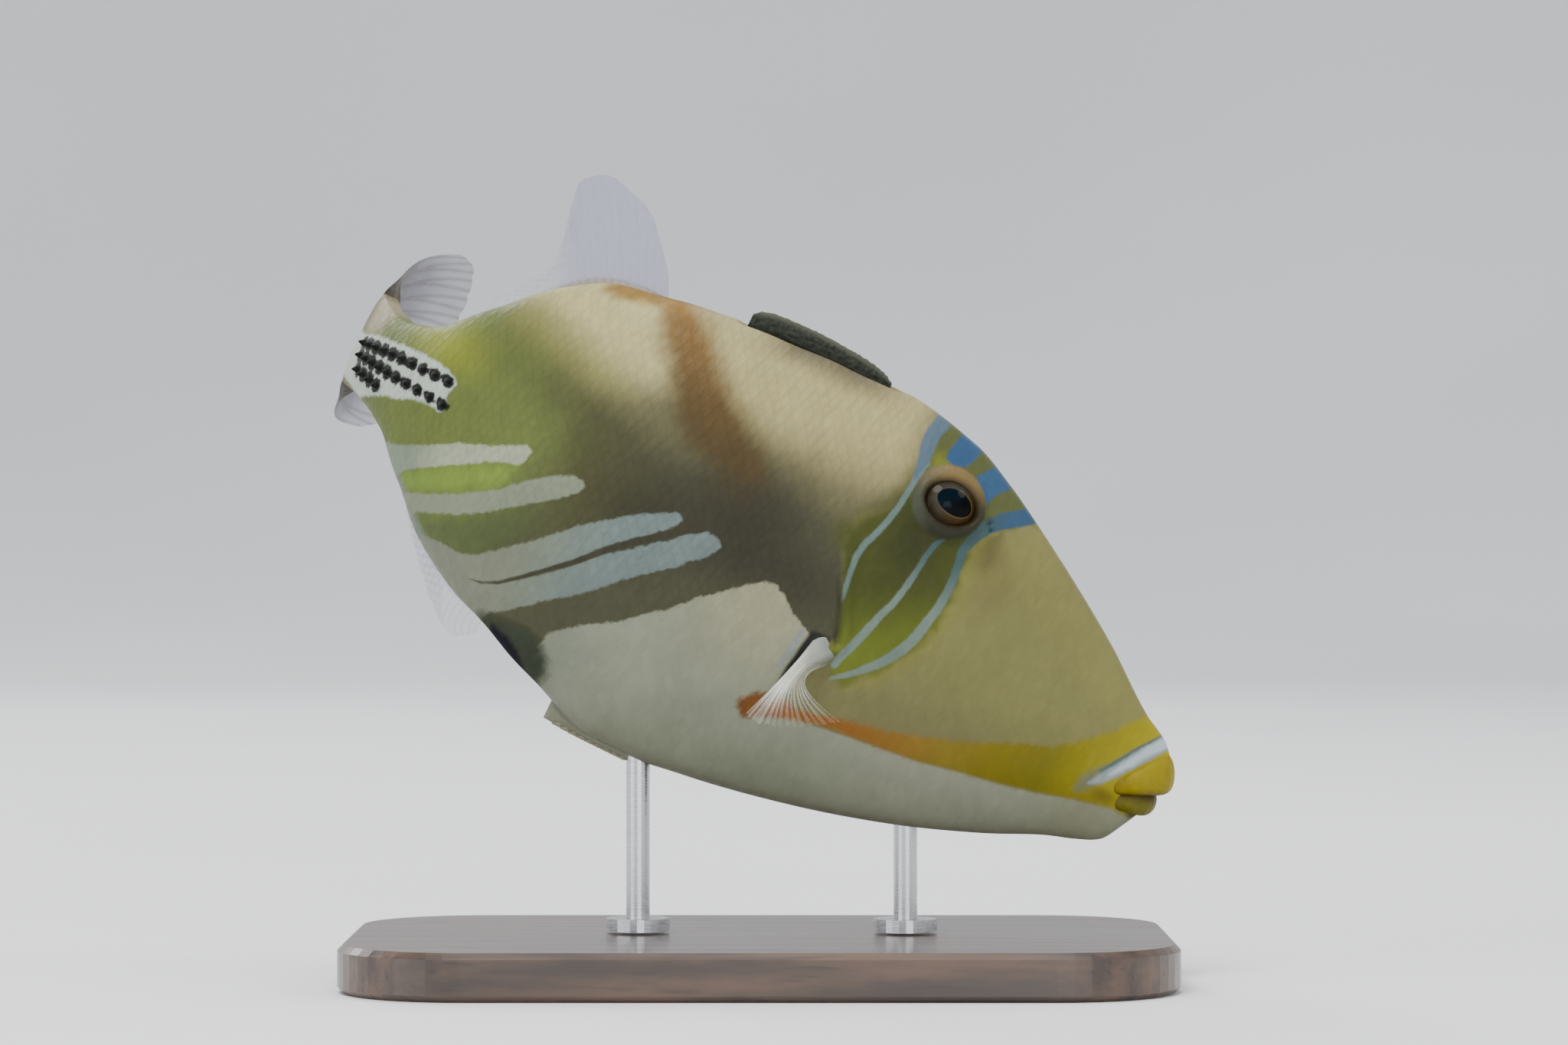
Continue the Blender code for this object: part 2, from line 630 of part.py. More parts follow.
def rod_top(name):
    """Where a rod meets the belly."""
    s = ROD_STATIONS[name]
    return place(s, BELLY(s), 0)


def rod_hole(name):
    x, y, z = rod_top(name)
    return cylinder(name + "_hole", x, y, z - 6, z + ROD_SUNK + GAP, ROD_RADIUS + GAP)


def make_rods(look):
    """Each rod stands on a round foot on the base and ends inside the fish's belly."""
    for name in ROD_STATIONS:
        x, y, z = rod_top(name)
        rod = cylinder(name, x, y, BASE_THICK + GAP, z + ROD_SUNK, ROD_RADIUS)
        rod.data.materials.append(look)
        foot = cylinder("foot", x, y, BASE_THICK + GAP, BASE_THICK + GAP + FOOT_THICK,
                        FOOT_RADIUS, 28)
        combine(rod, [foot], "UNION")


def base_outline(inset):
    along, across = BASE_LENGTH / 2 - BASE_CORNER, BASE_DEPTH / 2 - BASE_CORNER
    radius = BASE_CORNER - inset
    points = []
    for quarter, (sx, sy) in enumerate(((1, 1), (-1, 1), (-1, -1), (1, -1))):
        for i in range(CORNER_STEPS + 1):
            a = math.pi / 2 * (quarter + i / CORNER_STEPS)
            points.append((sx * along + radius * math.cos(a), sy * across + radius * math.sin(a)))
    return points


def make_base(look):
    levels = ((0, BASE_CHAMFER), (BASE_CHAMFER, 0), (BASE_THICK - BASE_CHAMFER, 0),
              (BASE_THICK, BASE_CHAMFER))
    rings = [[(x, y, z) for x, y in base_outline(inset)] for z, inset in levels]
    lofted("stand_base", rings, look)


def main():
    for thing in list(bpy.data.objects):
        bpy.data.objects.remove(thing)
    make_head(material("head_skin", (0.55, 0.52, 0.26), 0.45))
    make_trunk(material("trunk_skin", (0.50, 0.47, 0.36), 0.45))
    make_stalk(material("stalk_skin", (0.42, 0.45, 0.17), 0.45))
    make_eyes(material("eye", (0.05, 0.06, 0.07), 0.1))
    make_first_dorsal(material("rough_spine", (0.09, 0.10, 0.09), 0.7))
    fin_look = material("fin_membrane", (0.72, 0.74, 0.80), 0.35)
    make_second_dorsal(fin_look)
    make_anal(fin_look)
    make_caudal(fin_look)
    make_pectorals(fin_look)
    make_pelvic_flap(material("pelvic_flap_skin", (0.60, 0.62, 0.55), 0.6))
    make_rods(material("steel", (0.62, 0.63, 0.65), 0.3, 1.0))
    make_base(material("dark_wood", (0.05, 0.035, 0.03), 0.4))


main()
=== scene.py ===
"""The looks of the picasso triggerfish on its display stand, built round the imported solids.

Sizes are in millimetres and become metres in mesh_piece. As in the solids, s is the distance back
from the snout along the fish's bent midline, h the height towards its back and w the distance out
to its left. The skin's markings are drawn as lines and outlines in (s, h), the same on both sides.
"""
import math

import bpy
import numpy as np
from mathutils import Euler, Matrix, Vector, noise


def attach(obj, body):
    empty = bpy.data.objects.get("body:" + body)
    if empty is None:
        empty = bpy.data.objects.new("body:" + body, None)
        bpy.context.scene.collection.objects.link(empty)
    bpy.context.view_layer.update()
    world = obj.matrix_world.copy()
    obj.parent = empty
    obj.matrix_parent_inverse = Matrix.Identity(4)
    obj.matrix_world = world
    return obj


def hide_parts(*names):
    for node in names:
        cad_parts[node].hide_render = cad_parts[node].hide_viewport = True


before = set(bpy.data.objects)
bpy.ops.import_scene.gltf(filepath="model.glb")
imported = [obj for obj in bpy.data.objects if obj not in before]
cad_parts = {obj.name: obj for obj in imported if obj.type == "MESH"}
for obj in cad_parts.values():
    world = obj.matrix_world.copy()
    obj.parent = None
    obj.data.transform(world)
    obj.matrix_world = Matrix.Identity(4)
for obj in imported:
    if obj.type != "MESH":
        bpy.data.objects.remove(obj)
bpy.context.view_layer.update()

MM = 0.001

# Pose and outline, as in the solids.
SNOUT = np.array([52.0, -3.0, 27.0])
NOSE_DOWN = math.radians(26)
BACK_TOWARDS_VIEWER = math.radians(7)
STANDARD_LENGTH = 130.0
BEND_START, STALK_TURN, BEND_POWER = 64.0, 74.0, 1.4
FIN_TURN, CAUDAL_LENGTH = 60.0, 26.0
EDGE_FLAT = 0.9
EYE_S, EYE_H = 40.2, 18.4
EYE_RADIUS, EYE_DEPTH, EYE_SUNK = 4.0, 3.0, 1.7

# Skin mesh: finer on the head, where the eyelids and narrow lines are.
SKIN_FRONT, SKIN_REAR, HEAD_REAR = 1.2, 130.85, 52.0
HEAD_SPACING, BODY_SPACING = 0.27, 0.42
SIDE_STEPS = 190

# Camera, measured from the snout. One millimetre beside the snout is 10.4 of the photograph's
# 2048 pixels.
CAMERA_DISTANCE = 650.0
PIXELS_PER_MM = 10.4
IMAGE_WIDTH, IMAGE_HEIGHT = 2048, 1365
SNOUT_PIXEL = (1533, 1003)
SENSOR_WIDTH = 36.0


def table(text):
    """The rows of numbers in a text such as "1.2,3 4,5.6"."""
    return [tuple(map(float, row.split(","))) for row in text.split()]


def through(text):
    """A smooth function through the (x, y) points of a table, with no overshoot between them."""
    x, y = np.array(table(text)).T
    step = np.diff(x)
    rise = np.diff(y) / step
    slope = np.concatenate([[rise[0]], np.zeros(len(x) - 2), [rise[-1]]])
    for i in range(1, len(x) - 1):
        if rise[i - 1] * rise[i] > 0:
            a = 2 * step[i] + step[i - 1]
            b = step[i] + 2 * step[i - 1]
            slope[i] = (a + b) / (a / rise[i - 1] + b / rise[i])

    def value(at):
        at = np.clip(at, x[0], x[-1])
        i = np.clip(np.searchsorted(x, at) - 1, 0, len(x) - 2)
        t = (at - x[i]) / step[i]
        return (
            y[i] * (1 + 2 * t) * (1 - t) ** 2
            + y[i + 1] * t * t * (3 - 2 * t)
            + step[i] * t * (1 - t) * (slope[i] * (1 - t) - slope[i + 1] * t)
        )

    return value


BACK = through("""
    1.2,1.3 2.4,2.5 5.6,4.3 14,10.6 29,20.1 34,22.9 40,25.6 52,27.7 66,27.4 80,25.7 90,23.6 98,18.6
    105,12.6 113,7 121,5.7 131,6.4
""")
BELLY = through("""
    1.2,-6.6 2.4,-9 4.2,-12 7,-13.4 10.5,-14.6 18,-18 29,-22.1 41,-25.4 54,-27.9 62,-28.8 67,-28.9
    71,-28.1 74,-26.9 86,-22.3 96,-18.6 106,-12.1 113,-7.8 121,-6.2 131,-6.4
""")
HALF_WIDTH = through("""
    1.2,1.1 2.4,2.1 4.2,2.9 8,4 20,6.7 35,9.4 50,11.1 62,11.4 75,10.2 88,7.8 100,5.4 112,3.5
    122,2.4 131,1.7
""")
WIDEST = through("1.2,-2.6 10,-4 30,-4 60,-2 90,0.4 131,0")
ROUNDNESS = through("1.2,1 38,1 58,1.2 85,1.25 112,1.05 131,1")
GROOVE = through("50.5,0 53,1.5 71.5,1.5 73.5,0")


def turn(s):
    """How far the midline has turned from the head's direction, in radians."""
    bend = np.clip((s - BEND_START) / (STANDARD_LENGTH - BEND_START), 0, 1) ** BEND_POWER
    curl = np.clip((s - STANDARD_LENGTH) / CAUDAL_LENGTH, 0, 1.2)
    return np.radians(STALK_TURN * bend + FIN_TURN * curl)


MIDLINE_S = np.linspace(-4, 170, 3481)
MIDLINE_STEP = MIDLINE_S[1] - MIDLINE_S[0]
MIDLINE_BACK = MIDLINE_S[0] + np.cumsum(np.cos(turn(MIDLINE_S))) * MIDLINE_STEP
MIDLINE_LEFT = np.cumsum(np.sin(turn(MIDLINE_S))) * MIDLINE_STEP
LEVEL_UP = np.array([math.sin(NOSE_DOWN), 0, math.cos(NOSE_DOWN)])
AWAY = np.array([0, 1, 0])
FORWARD = np.array([math.cos(NOSE_DOWN), 0, -math.sin(NOSE_DOWN)])
UP = LEVEL_UP * math.cos(BACK_TOWARDS_VIEWER) - AWAY * math.sin(BACK_TOWARDS_VIEWER)
LEFT = AWAY * math.cos(BACK_TOWARDS_VIEWER) + LEVEL_UP * math.sin(BACK_TOWARDS_VIEWER)


def place(s, h, w):
    """The point in the frame, in mm, of a point in the fish's own measures."""
    s, h, w = np.broadcast_arrays(*(np.asarray(value, float) for value in (s, h, w)))
    forward = w * np.sin(turn(s)) - np.interp(s, MIDLINE_S, MIDLINE_BACK)
    left = w * np.cos(turn(s)) + np.interp(s, MIDLINE_S, MIDLINE_LEFT)
    return SNOUT + forward[..., None] * FORWARD + left[..., None] * LEFT + h[..., None] * UP


def side_width(s, h):
    """The half width of the body at one height."""
    widest = WIDEST(s)
    reach = np.where(h > widest, BACK(s) - widest, widest - BELLY(s))
    share = np.clip(np.abs(h - widest) / reach, 0, 1)
    return EDGE_FLAT + (HALF_WIDTH(s) - EDGE_FLAT) * (1 - share**2) ** (ROUNDNESS(s) / 2)


def side_frame(s, h, side):
    """The body's surface point and unit outward, forward and upward directions there."""
    def surface(a, b):
        return place(a, b, side * side_width(a, b))

    point = surface(s, h)
    forward = surface(s - 0.5, h) - surface(s + 0.5, h)
    outward = np.cross(forward, surface(s, h + 0.5) - surface(s, h - 0.5)) * -side
    forward = forward / np.linalg.norm(forward)
    outward = outward / np.linalg.norm(outward)
    upward = np.cross(outward, forward) * -side
    return point, outward, forward, upward


def smooth(value, low, high):
    """0 below low, 1 above high, and an easy curve between."""
    t = np.clip((value - low) / (high - low), 0, 1)
    return t * t * (3 - 2 * t)


def linear(colour):
    """A colour given as 0 to 255 on screen, as the shader's linear value."""
    c = np.array(colour, float) / 255
    return np.where(c <= 0.04045, c / 12.92, ((c + 0.055) / 1.055) ** 2.4)


PAINT_STRENGTH, PAINT_DEPTH, PAINT_LIGHT = 1.25, 1.12, 0.72


def pigment(colour):
    """The paint that looks like a colour once the fish is lit: deeper and stronger than it."""
    c = linear(colour)
    grey = (c @ np.array([0.2126, 0.7152, 0.0722]))[..., None] * np.ones(3)
    return np.clip(grey + (c - grey) * PAINT_STRENGTH, 0.003, 1) ** PAINT_DEPTH * PAINT_LIGHT


def blend(under, over, share):
    """Tints taken from under towards over by the share at each point. Either may be a colour on
    screen, which is painted as its pigment."""
    under, over = (pigment(tint) if isinstance(tint, tuple) else tint for tint in (under, over))
    return under + (over - under) * np.asarray(share)[..., None]


# The distance given to points that have no shape near them.
FAR = 1e3


def shape_field(s, h, shape):
    """Distance to a shape in the skin, negative inside it. The points of a line are
    (s, h, half width), and those of an outline (s, h)."""
    is_line = len(shape[0]) == 3
    field = np.full(s.shape, FAR)
    inside = np.zeros(s.shape, bool)
    ends = shape[1:] if is_line else shape[1:] + shape[:1]
    for a, b in zip(shape, ends):
        ds, dh = b[0] - a[0], b[1] - a[1]
        t = np.clip(((s - a[0]) * ds + (h - a[1]) * dh) / (ds * ds + dh * dh), 0, 1)
        distance = np.hypot(s - a[0] - t * ds, h - a[1] - t * dh)
        if is_line:
            distance = distance - (a[2] + (b[2] - a[2]) * t)
        elif dh:
            inside ^= ((a[1] > h) != (b[1] > h)) & (s < ds * (h - a[1]) / dh + a[0])
        field = np.minimum(field, distance)
    return np.where(inside, -field, field)


# Skin colours, as they look on screen.
FLANK = (79, 79, 62)
FLANK_DARK = (52, 49, 38)
SPINE_SHADE = (98, 92, 78)
OLIVE_REAR = (108, 117, 74)
OLIVE_DARK = (79, 80, 53)
OLIVE_BRIGHT = (150, 155, 82)
OLIVE_TAN = (134, 132, 92)
STALK_TAN = (158, 150, 128)
STALK_END_TAN = (120, 112, 92)
CREAM = (194, 187, 148)
CREAM_FRONT = (181, 173, 136)
BAND_TOP = (134, 108, 70)
BAND_LOW = (72, 64, 43)
DORSAL_BASE_TAN = (142, 114, 62)
CHEEK = (129, 127, 91)
SNOUT_TOP = (139, 136, 95)
CHEEK_LOW = (121, 118, 90)
CHEEK_DARK_PATCH = (122, 113, 80)
DARK_PATCH_UNDER_EYE = (100, 92, 62)
GREEN = (72, 77, 36)
GREEN_SHADE_UNDER_ORBIT = (53, 56, 26)
GREEN_BRIGHT = (114, 123, 62)
GREEN_HALO = (134, 134, 76)
FOREHEAD_OLIVE = (93, 97, 64)
FOREHEAD_GREEN = (124, 128, 66)
YELLOW_GREEN = (126, 144, 84)
DEEP_GREEN = (84, 94, 64)
PALE = (146, 150, 134)
PALE_LOBE = (160, 157, 135)
PALE_REAR = (128, 134, 120)
PALE_EDGE_SHADE = (126, 124, 110)
CHIN = (140, 142, 123)
THROAT = (156, 159, 143)
# The second of these is painted shade for the mouth's corner and cleft.
MASK_LOW, MOUTH_CORNER_SHADE = (120, 108, 30), (86, 72, 16)
LINE_TOP, LINE_LOW, LINE_FRONT = (74, 93, 94), (122, 135, 127), (62, 88, 112)
STRIPE_TOP, STRIPE_TOP_REAR = (164, 170, 150), (136, 146, 131)
STRIPE, STRIPE_REAR = (119, 130, 127), (128, 132, 117)
# The second of these is painted shade for the gill slit and the nostril pits.
SPINE_SPOT, SLIT_AND_PIT_SHADE = (34, 36, 33), (34, 32, 24)
ORBIT_TOP = (130, 114, 82)
ORBIT_REAR = (76, 80, 67)
ORBIT_LOW = (50, 50, 38)
ORBIT_RIM_SHADE = (50, 41, 25)

# Outlines of the ground's soft areas, the gill slit's line and the nostrils.
REAR_OUTLINE = table("""
    98,40 98,16.2 93,15.3 89.1,14 85.1,11.9 82.2,10.4 80.2,8.3 79.3,4.6 79.4,0.3 80.2,-4.5
    82.2,-9.4 86,-16 92,-24 96,-40 150,-40 150,40
""")
REAR_CREAM = table("""
    99,40 99.5,17.6 96,17.3 93.6,16.6 89.6,15.2 85.6,13.8 82.5,12.9 79,12.1 75.5,11 70,11.5 66,14
    78,26 79,40
""")
FRONT_CREAM = table("""
    82,40 81,27 70,15.5 66.6,15.4 63.3,14.3 59.1,14 54.4,13 50.7,12.1 47.5,13.6 45.5,16.5 45.2,20.6
    46.2,24.4 45.6,28 45,40
""")
ORANGE_BAND = table("""
    86,40 83.5,26.5 82.2,24.3 81.3,22 79.8,20.2 77.9,18 76,15.3 73.8,12.7 71.6,10.6 68.2,9.8 64,7
    61.5,11 63.1,13.9 66,15.6 67.6,16.8 70.2,19 72.2,21.1 74.1,22.7 77,24.9 79.2,26 80,40
""")
BASE_STRIP = table("79.5,24.8 83.8,23.8 86.4,22.9 88.4,22.3 90,22.6 90,40 79,40")
GREEN_PATCH = table("""
    35,12.7 34.5,10.3 34.3,7.8 34.6,5.6 35.1,2.9 36.3,-0.1 38,-3.1 40,-5.4 42.1,-7.5 44.2,-7
    45,-3.2 47.1,2.4 48.7,5.8 49.6,8 49.8,10.5 48.9,12.8 47.7,15.1 46.2,18 45.4,21 44,23.5 40,24.5
    36,22.5 34.8,18 35.2,15
""")
FOREHEAD = table("45.5,30 45.4,22 44.6,20 41,20 36,19 33.7,17.4 31,19.2 28.5,20 26,24 30,34")
YELLOW_GREEN_PATCH = table("""
    106,-11.5 95.4,-5.3 90.6,-2.6 88.4,-1.8 88.6,-3.6 89.9,-5.2 94.2,-8.1 99.9,-10.9 104,-13
""")
DEEP_GREEN_PATCH = table("""
    98.5,-14.2 92.8,-11 87.3,-7.4 80.5,-1.8 78.5,-4.2 85.8,-11.5 89.3,-14.2 92.7,-15.2 97,-16
""")
GILL_LINE = table("48.6,5.8,-0.5 48,4.4,-0.25 47,2.4,-0.1 45.7,-0.6,0 45.1,-2.9,0.1")
NOSTRILS = ((34.4, 18.2), (33.9, 17.5))

# How far the orange band has its upper colour, by height.
BAND_TOP_SHARE = through("9,0 17,0.3 24,0.9 27,1 30,1")

# The mask band's colours along the head: s, and then red, green and blue.
MASK_BAND_RAMP = np.array(table("""
    2,172,164,36 9,148,140,42 15,124,118,45 21,131,121,52 27,137,123,66 31,142,118,68 38,140,104,60
    46,136,93,52 53,112,80,50
"""))

# The rear edge of the head's ground: h, and then s.
HEAD_EDGE = np.array(table("""
    -30,46 -14,46 -12,47.5 -9,48 -5,47 -2.4,45.1 2.4,46.9 6,48.6 9,50 14,49.5 20,45.3 24,45.8 30,45
""")).T

# Crisp marks, painted over the ground in this order: name, colour or the tint that holds it,
# softness and raggedness of the edge in mm, and the shape, as in shape_field.
MARKS = [(*look, table(shape)) for *look, shape in (
    ("pale_belly", "pale_tint", 0.22, 0.35, """
        -6,-8.2 0,-8.3 4.7,-7.6 10,-8.6 14.7,-9.8 19.6,-10.7 24.5,-11.4 29.3,-12.3 36.5,-13
        44.4,-13.9 46.5,-13 49.6,-11.4 49.4,-10 49.1,-7.3 48.6,-5 48.4,-3.6 50.2,-2.6
        51.6,-1.9 52.7,-1.1 53.6,-0.4 54.6,0.1 55.6,0.2 56.6,-0.1 57.9,-1 60.8,-3.7 63.4,-5.8
        65.1,-7.9 67.2,-9.8 70.6,-13.2 73,-14.8 75.2,-16.7 77,-18.6 77.9,-21.5 79.5,-26.5
        80,-45 -6,-45"""),
    ("anal_margin", (120, 129, 118), 0.8, 0.3, """
        86.5,-22.3,1.2 96,-18.6,1.6 103,-14.2,1.7 109,-10.2,1.5"""),
    ("stripe_1", "stripe_tint", 0.22, 0.3, """
        87.6,1 88.4,1.4 92.7,-1.1 96.8,-2.8 101.1,-5.3 106.6,-7.7 111,-8.6 113,-12 107,-12.5
        103.7,-9.8 99.8,-7.7 95.6,-5.2 90.9,-2.3 88.2,-1.3 87.7,-0.2"""),
    ("stripe_2", (135, 142, 125), 0.2, 0.28, """
        80,0.4 80.7,0.9 81.8,0.9 84.1,-0.5 86.4,-2.4 89.4,-5.4 94,-8.5 98.4,-10.7 102,-12.1
        106,-14 104,-20 99.7,-13.6 97.5,-12.9 93,-10.8 89.3,-8.4 86.8,-6.3 83.6,-3.8 81.4,-1.8
        80.2,-0.4"""),
    ("stripe_3", "low_stripe_tint", 0.2, 0.3, """
        68.5,2.5 69.4,2.9 71.3,1.8 73.5,0.3 75.6,-1.5 78.5,-4 79.8,-5.5 82.6,-8.5 86.6,-12.2
        89.2,-14.4 91.3,-15.2 93.9,-15.4 98,-16 99,-25 92,-25 88.2,-17.6 85.2,-15.9 82.7,-13.6
        79.6,-10.8 78.2,-9.2 76.9,-7.6 75.7,-5.8 74.4,-4.3 72.4,-2.3 71,-1 69.7,0.3 68.7,1.4"""),
    ("stripe_4", "low_stripe_tint", 0.2, 0.3, """
        92,-17.4 88.1,-17.4 85,-16.1 80.9,-12.6 78,-9.8 75.4,-6.6 72.6,-4 70.5,-2.1 68.5,-0.2
        67.2,1.4 66.2,2.3 64.8,2.4 63.6,2.2 63.1,1.5 63.4,0.6 64.3,-0.7 65.8,-1.8 66.7,-3.1
        67.2,-3.6 69.2,-5.3 71.2,-7.2 72.5,-8.7 74.5,-11 76.6,-13.1 78.2,-14.4 80.5,-16.5
        83,-18.8 85,-20.1 87,-23 96,-25"""),
    ("stripe_gap", (62, 60, 46), 0.14, 0.12, """
        66.3,2.6,0.75 67.8,1.4,0.55 69.5,-0.2,0.42 70.8,-1.4,0.36 72.9,-3.4,0.34
        74.9,-5.5,0.36 76.8,-7.9,0.34 79.6,-10.8,0.28 82.6,-13.8,0.22 85.1,-16,0.18
        87.1,-17.1,0.12 89.1,-17.6,0.02"""),
    ("vent_outer", (66, 71, 60), 1.1, 0.4, """
        86.5,-21 82.6,-20 79.8,-19.6 77.7,-20.1 76.1,-21.6 75.4,-23.7 76.4,-26.4 78,-40 90,-40"""),
    ("vent_core", (2, 8, 28), 0.6, 0.2, "84.6,-21.4 81.6,-21.9 80,-22.8 78.6,-24.4 79,-40 86,-40"),
    ("mask_band", "mask_tint", 0.5, 0.4, """
        0,12 3.8,6.6 5.9,4.8 7.3,3.3 9.4,1 11.6,-0.8 13.2,-2.1 15.1,-3.6 17.4,-4.2 21.8,-6
        26.2,-7.9 30.8,-9.4 34.5,-10.4 38.3,-11.1 41.2,-11.7 44,-12.4 46.4,-12.8 48.4,-12
        49.9,-12.2 51.5,-13.2 52.9,-14.7 52.6,-16 51.7,-16.7 50.6,-16.4 48.7,-15.4 46.6,-14.5
        44.4,-13.9 42.2,-13.3 39.5,-13.1 36.5,-12.9 33.4,-12.7 29.3,-12.3 24.5,-11.4
        19.6,-10.7 14.7,-9.8 10,-8.6 4.7,-7.6 0,-8.3 -6,-8"""),
    ("lip_smudge", (122, 126, 100), 0.7, 0.2, "7.4,-3.2,0.7 8.6,-4.8,1 9.4,-6,0.9 9.9,-6.9,0.5"),
    ("lip_stripe_edge", (92, 108, 104), 0.25, 0.12, """
        1.6,5,0.25 3,3.1,0.3 4.4,1.4,0.38 5.5,0,0.42 6.4,-1.3,0.42 7.2,-2.5,0.4 8.1,-3.8,0.3"""),
    ("lip_stripe", (156, 164, 166), 0.3, 0.15, """
        0.6,5,1.1 1.9,3.1,1 2.6,2.15,0.95 3.6,0.9,0.92 4.6,-0.35,0.9 5.4,-1.5,0.85
        6.1,-2.5,0.78 7,-3.7,0.72 8,-4.9,0.55 8.9,-5.8,0.2"""),
    # A painted highlight along the middle of the pale stripe.
    ("lip_stripe_core", (198, 209, 213), 0.35, 0.2, """
        0.4,5.3,0.75 1.7,3.4,0.75 2.5,2.35,0.68 3.9,0.8,0.6 5,-0.9,0.5 6,-2.4,0.4 7,-3.8,0.16"""),
    ("line_behind_eye", (110, 125, 121), 0.16, 0.1, """
        44.9,21.5,0.54 45.1,20.7,0.45 45.2,19.3,0.4 45.3,17.8,0.36 45.5,15.6,0.36 46,13.3,0.38
        46.6,11.4,0.41 47.3,9.6,0.41 47.6,7.6,0.38 47.4,5.6,0.34 47.1,3.6,0.27 46.7,2,0.14"""),
    ("line_under_eye", "line_tint", 0.17, 0.12, """
        38.8,14,0.17 39.5,13,0.36 39.9,11.2,0.36 40.1,9,0.38 40.5,6.3,0.4 41,4.2,0.43
        41.7,2.5,0.47 42.2,0.7,0.52 42.8,-1.4,0.53 43.4,-3.1,0.53 43.9,-4.4,0.52
        44.1,-5.6,0.43"""),
    ("line_forehead", "line_tint", 0.17, 0.12, """
        27.5,22.6,1 30.8,20.4,1 32.9,19.2,1 34.5,17.7,0.9 35.5,15.8,0.72 36,13.8,0.58
        35.8,12.3,0.54 35.5,10.4,0.52 35.5,8.3,0.54 35.7,6.1,0.56 36.1,4.2,0.6 36.5,2.1,0.64
        37.2,0.1,0.66 38.2,-1.7,0.62 39.4,-3.3,0.56 40.8,-4.8,0.46 42.3,-6.2,0.36
        43.8,-7.3,0.22"""),
    ("crown_bar", (98, 114, 126), 0.24, 0.15, """
        45.2,19.2,0.3 45.2,20.6,0.55 45.3,22,0.8 45.6,23.6,0.92 45.6,25.2,0.96 45.1,26.6,1
        44.2,30,1"""),
    ("brow_bar_rear", (63, 92, 122), 0.18, 0.15, """
        42.8,22.9 42.9,24.2 42.5,25.6 41.9,27 41.5,32 38.6,32 39.1,25.4 39.4,24.6 39.8,23.6
        40.5,22.8 41.8,22.6"""),
    ("brow_bar_front", (64, 94, 121), 0.18, 0.15, """
        37.8,23.3 36.9,24.3 36.2,26 35.5,32 32,30 33.6,23.6 34,22.6 35,21.8 35.5,21.1
        35.7,20.2 36.3,20.3 37,21.2 38,21.8 38.5,22.5"""),
    ("stalk_patch", (192, 200, 190), 0.3, 0.35, """
        132,0.8 127.1,1 120,2.6 114.4,3.4 109.7,4.1 105.3,4.4 102.3,4.1 101,3.3 101.6,2
        101.6,1.1 100.9,0.3 101.3,-0.8 104.6,-1 107.5,-1.7 110.4,-2.8 113.3,-3.5 115.3,-4.3
        120.8,-6 132,-5.5"""),
    ("hollow_rim", (142, 150, 150), 0.5, 0.2, """
        49.6,-3.6,0.3 49.6,-5.2,0.35 49.8,-7,0.3 50.2,-9,0.2"""),
    ("pectoral_hollow", (32, 34, 32), 0.35, 0.1, """
        46.2,-3,0.22 48.1,-3.3,0.47 48.5,-5.2,0.43 48.7,-6.9,0.36 49.1,-8.4,0.29
        49.3,-10.5,0.14"""),
)]

SPINE_SPACING = 2.5
SPINE_ROWS = (
    (102.7, 126.0, through("102.7,3 115,1.7 127,-0.1")),
    (101.9, 125.0, through("101.9,0.1 114,-0.6 127,-1.6")),
    (116.0, 124.0, through("116,-3 127,-3.2")),
)


def spine_places():
    """Where the stalk's short spines stand: s and h."""
    for first, last, height in SPINE_ROWS:
        for s in np.arange(first, last, SPINE_SPACING):
            yield float(s), float(height(s))


# Scales stand in two families of rows. Fine streaks follow the one that leans forward.
SCALE_SIZE = 1.15
STREAK_LEAN = math.radians(19)
FILE_LEAN = math.radians(37)

# The lids' opening, the orbit and the pupil, forward and up from the eye's middle.
LID_HALF_LENGTH, LID_HALF_HEIGHT = 3.3, 2.3
LID_CENTRE = (0.35, -0.15)
ORBIT_RADIUS = 4.7
PUPIL_CENTRE = (0.55, 0.05)
PUPIL_HALF_LENGTH, PUPIL_HALF_HEIGHT = 2.4, 1.6
PUPIL_TILT = math.radians(-4)


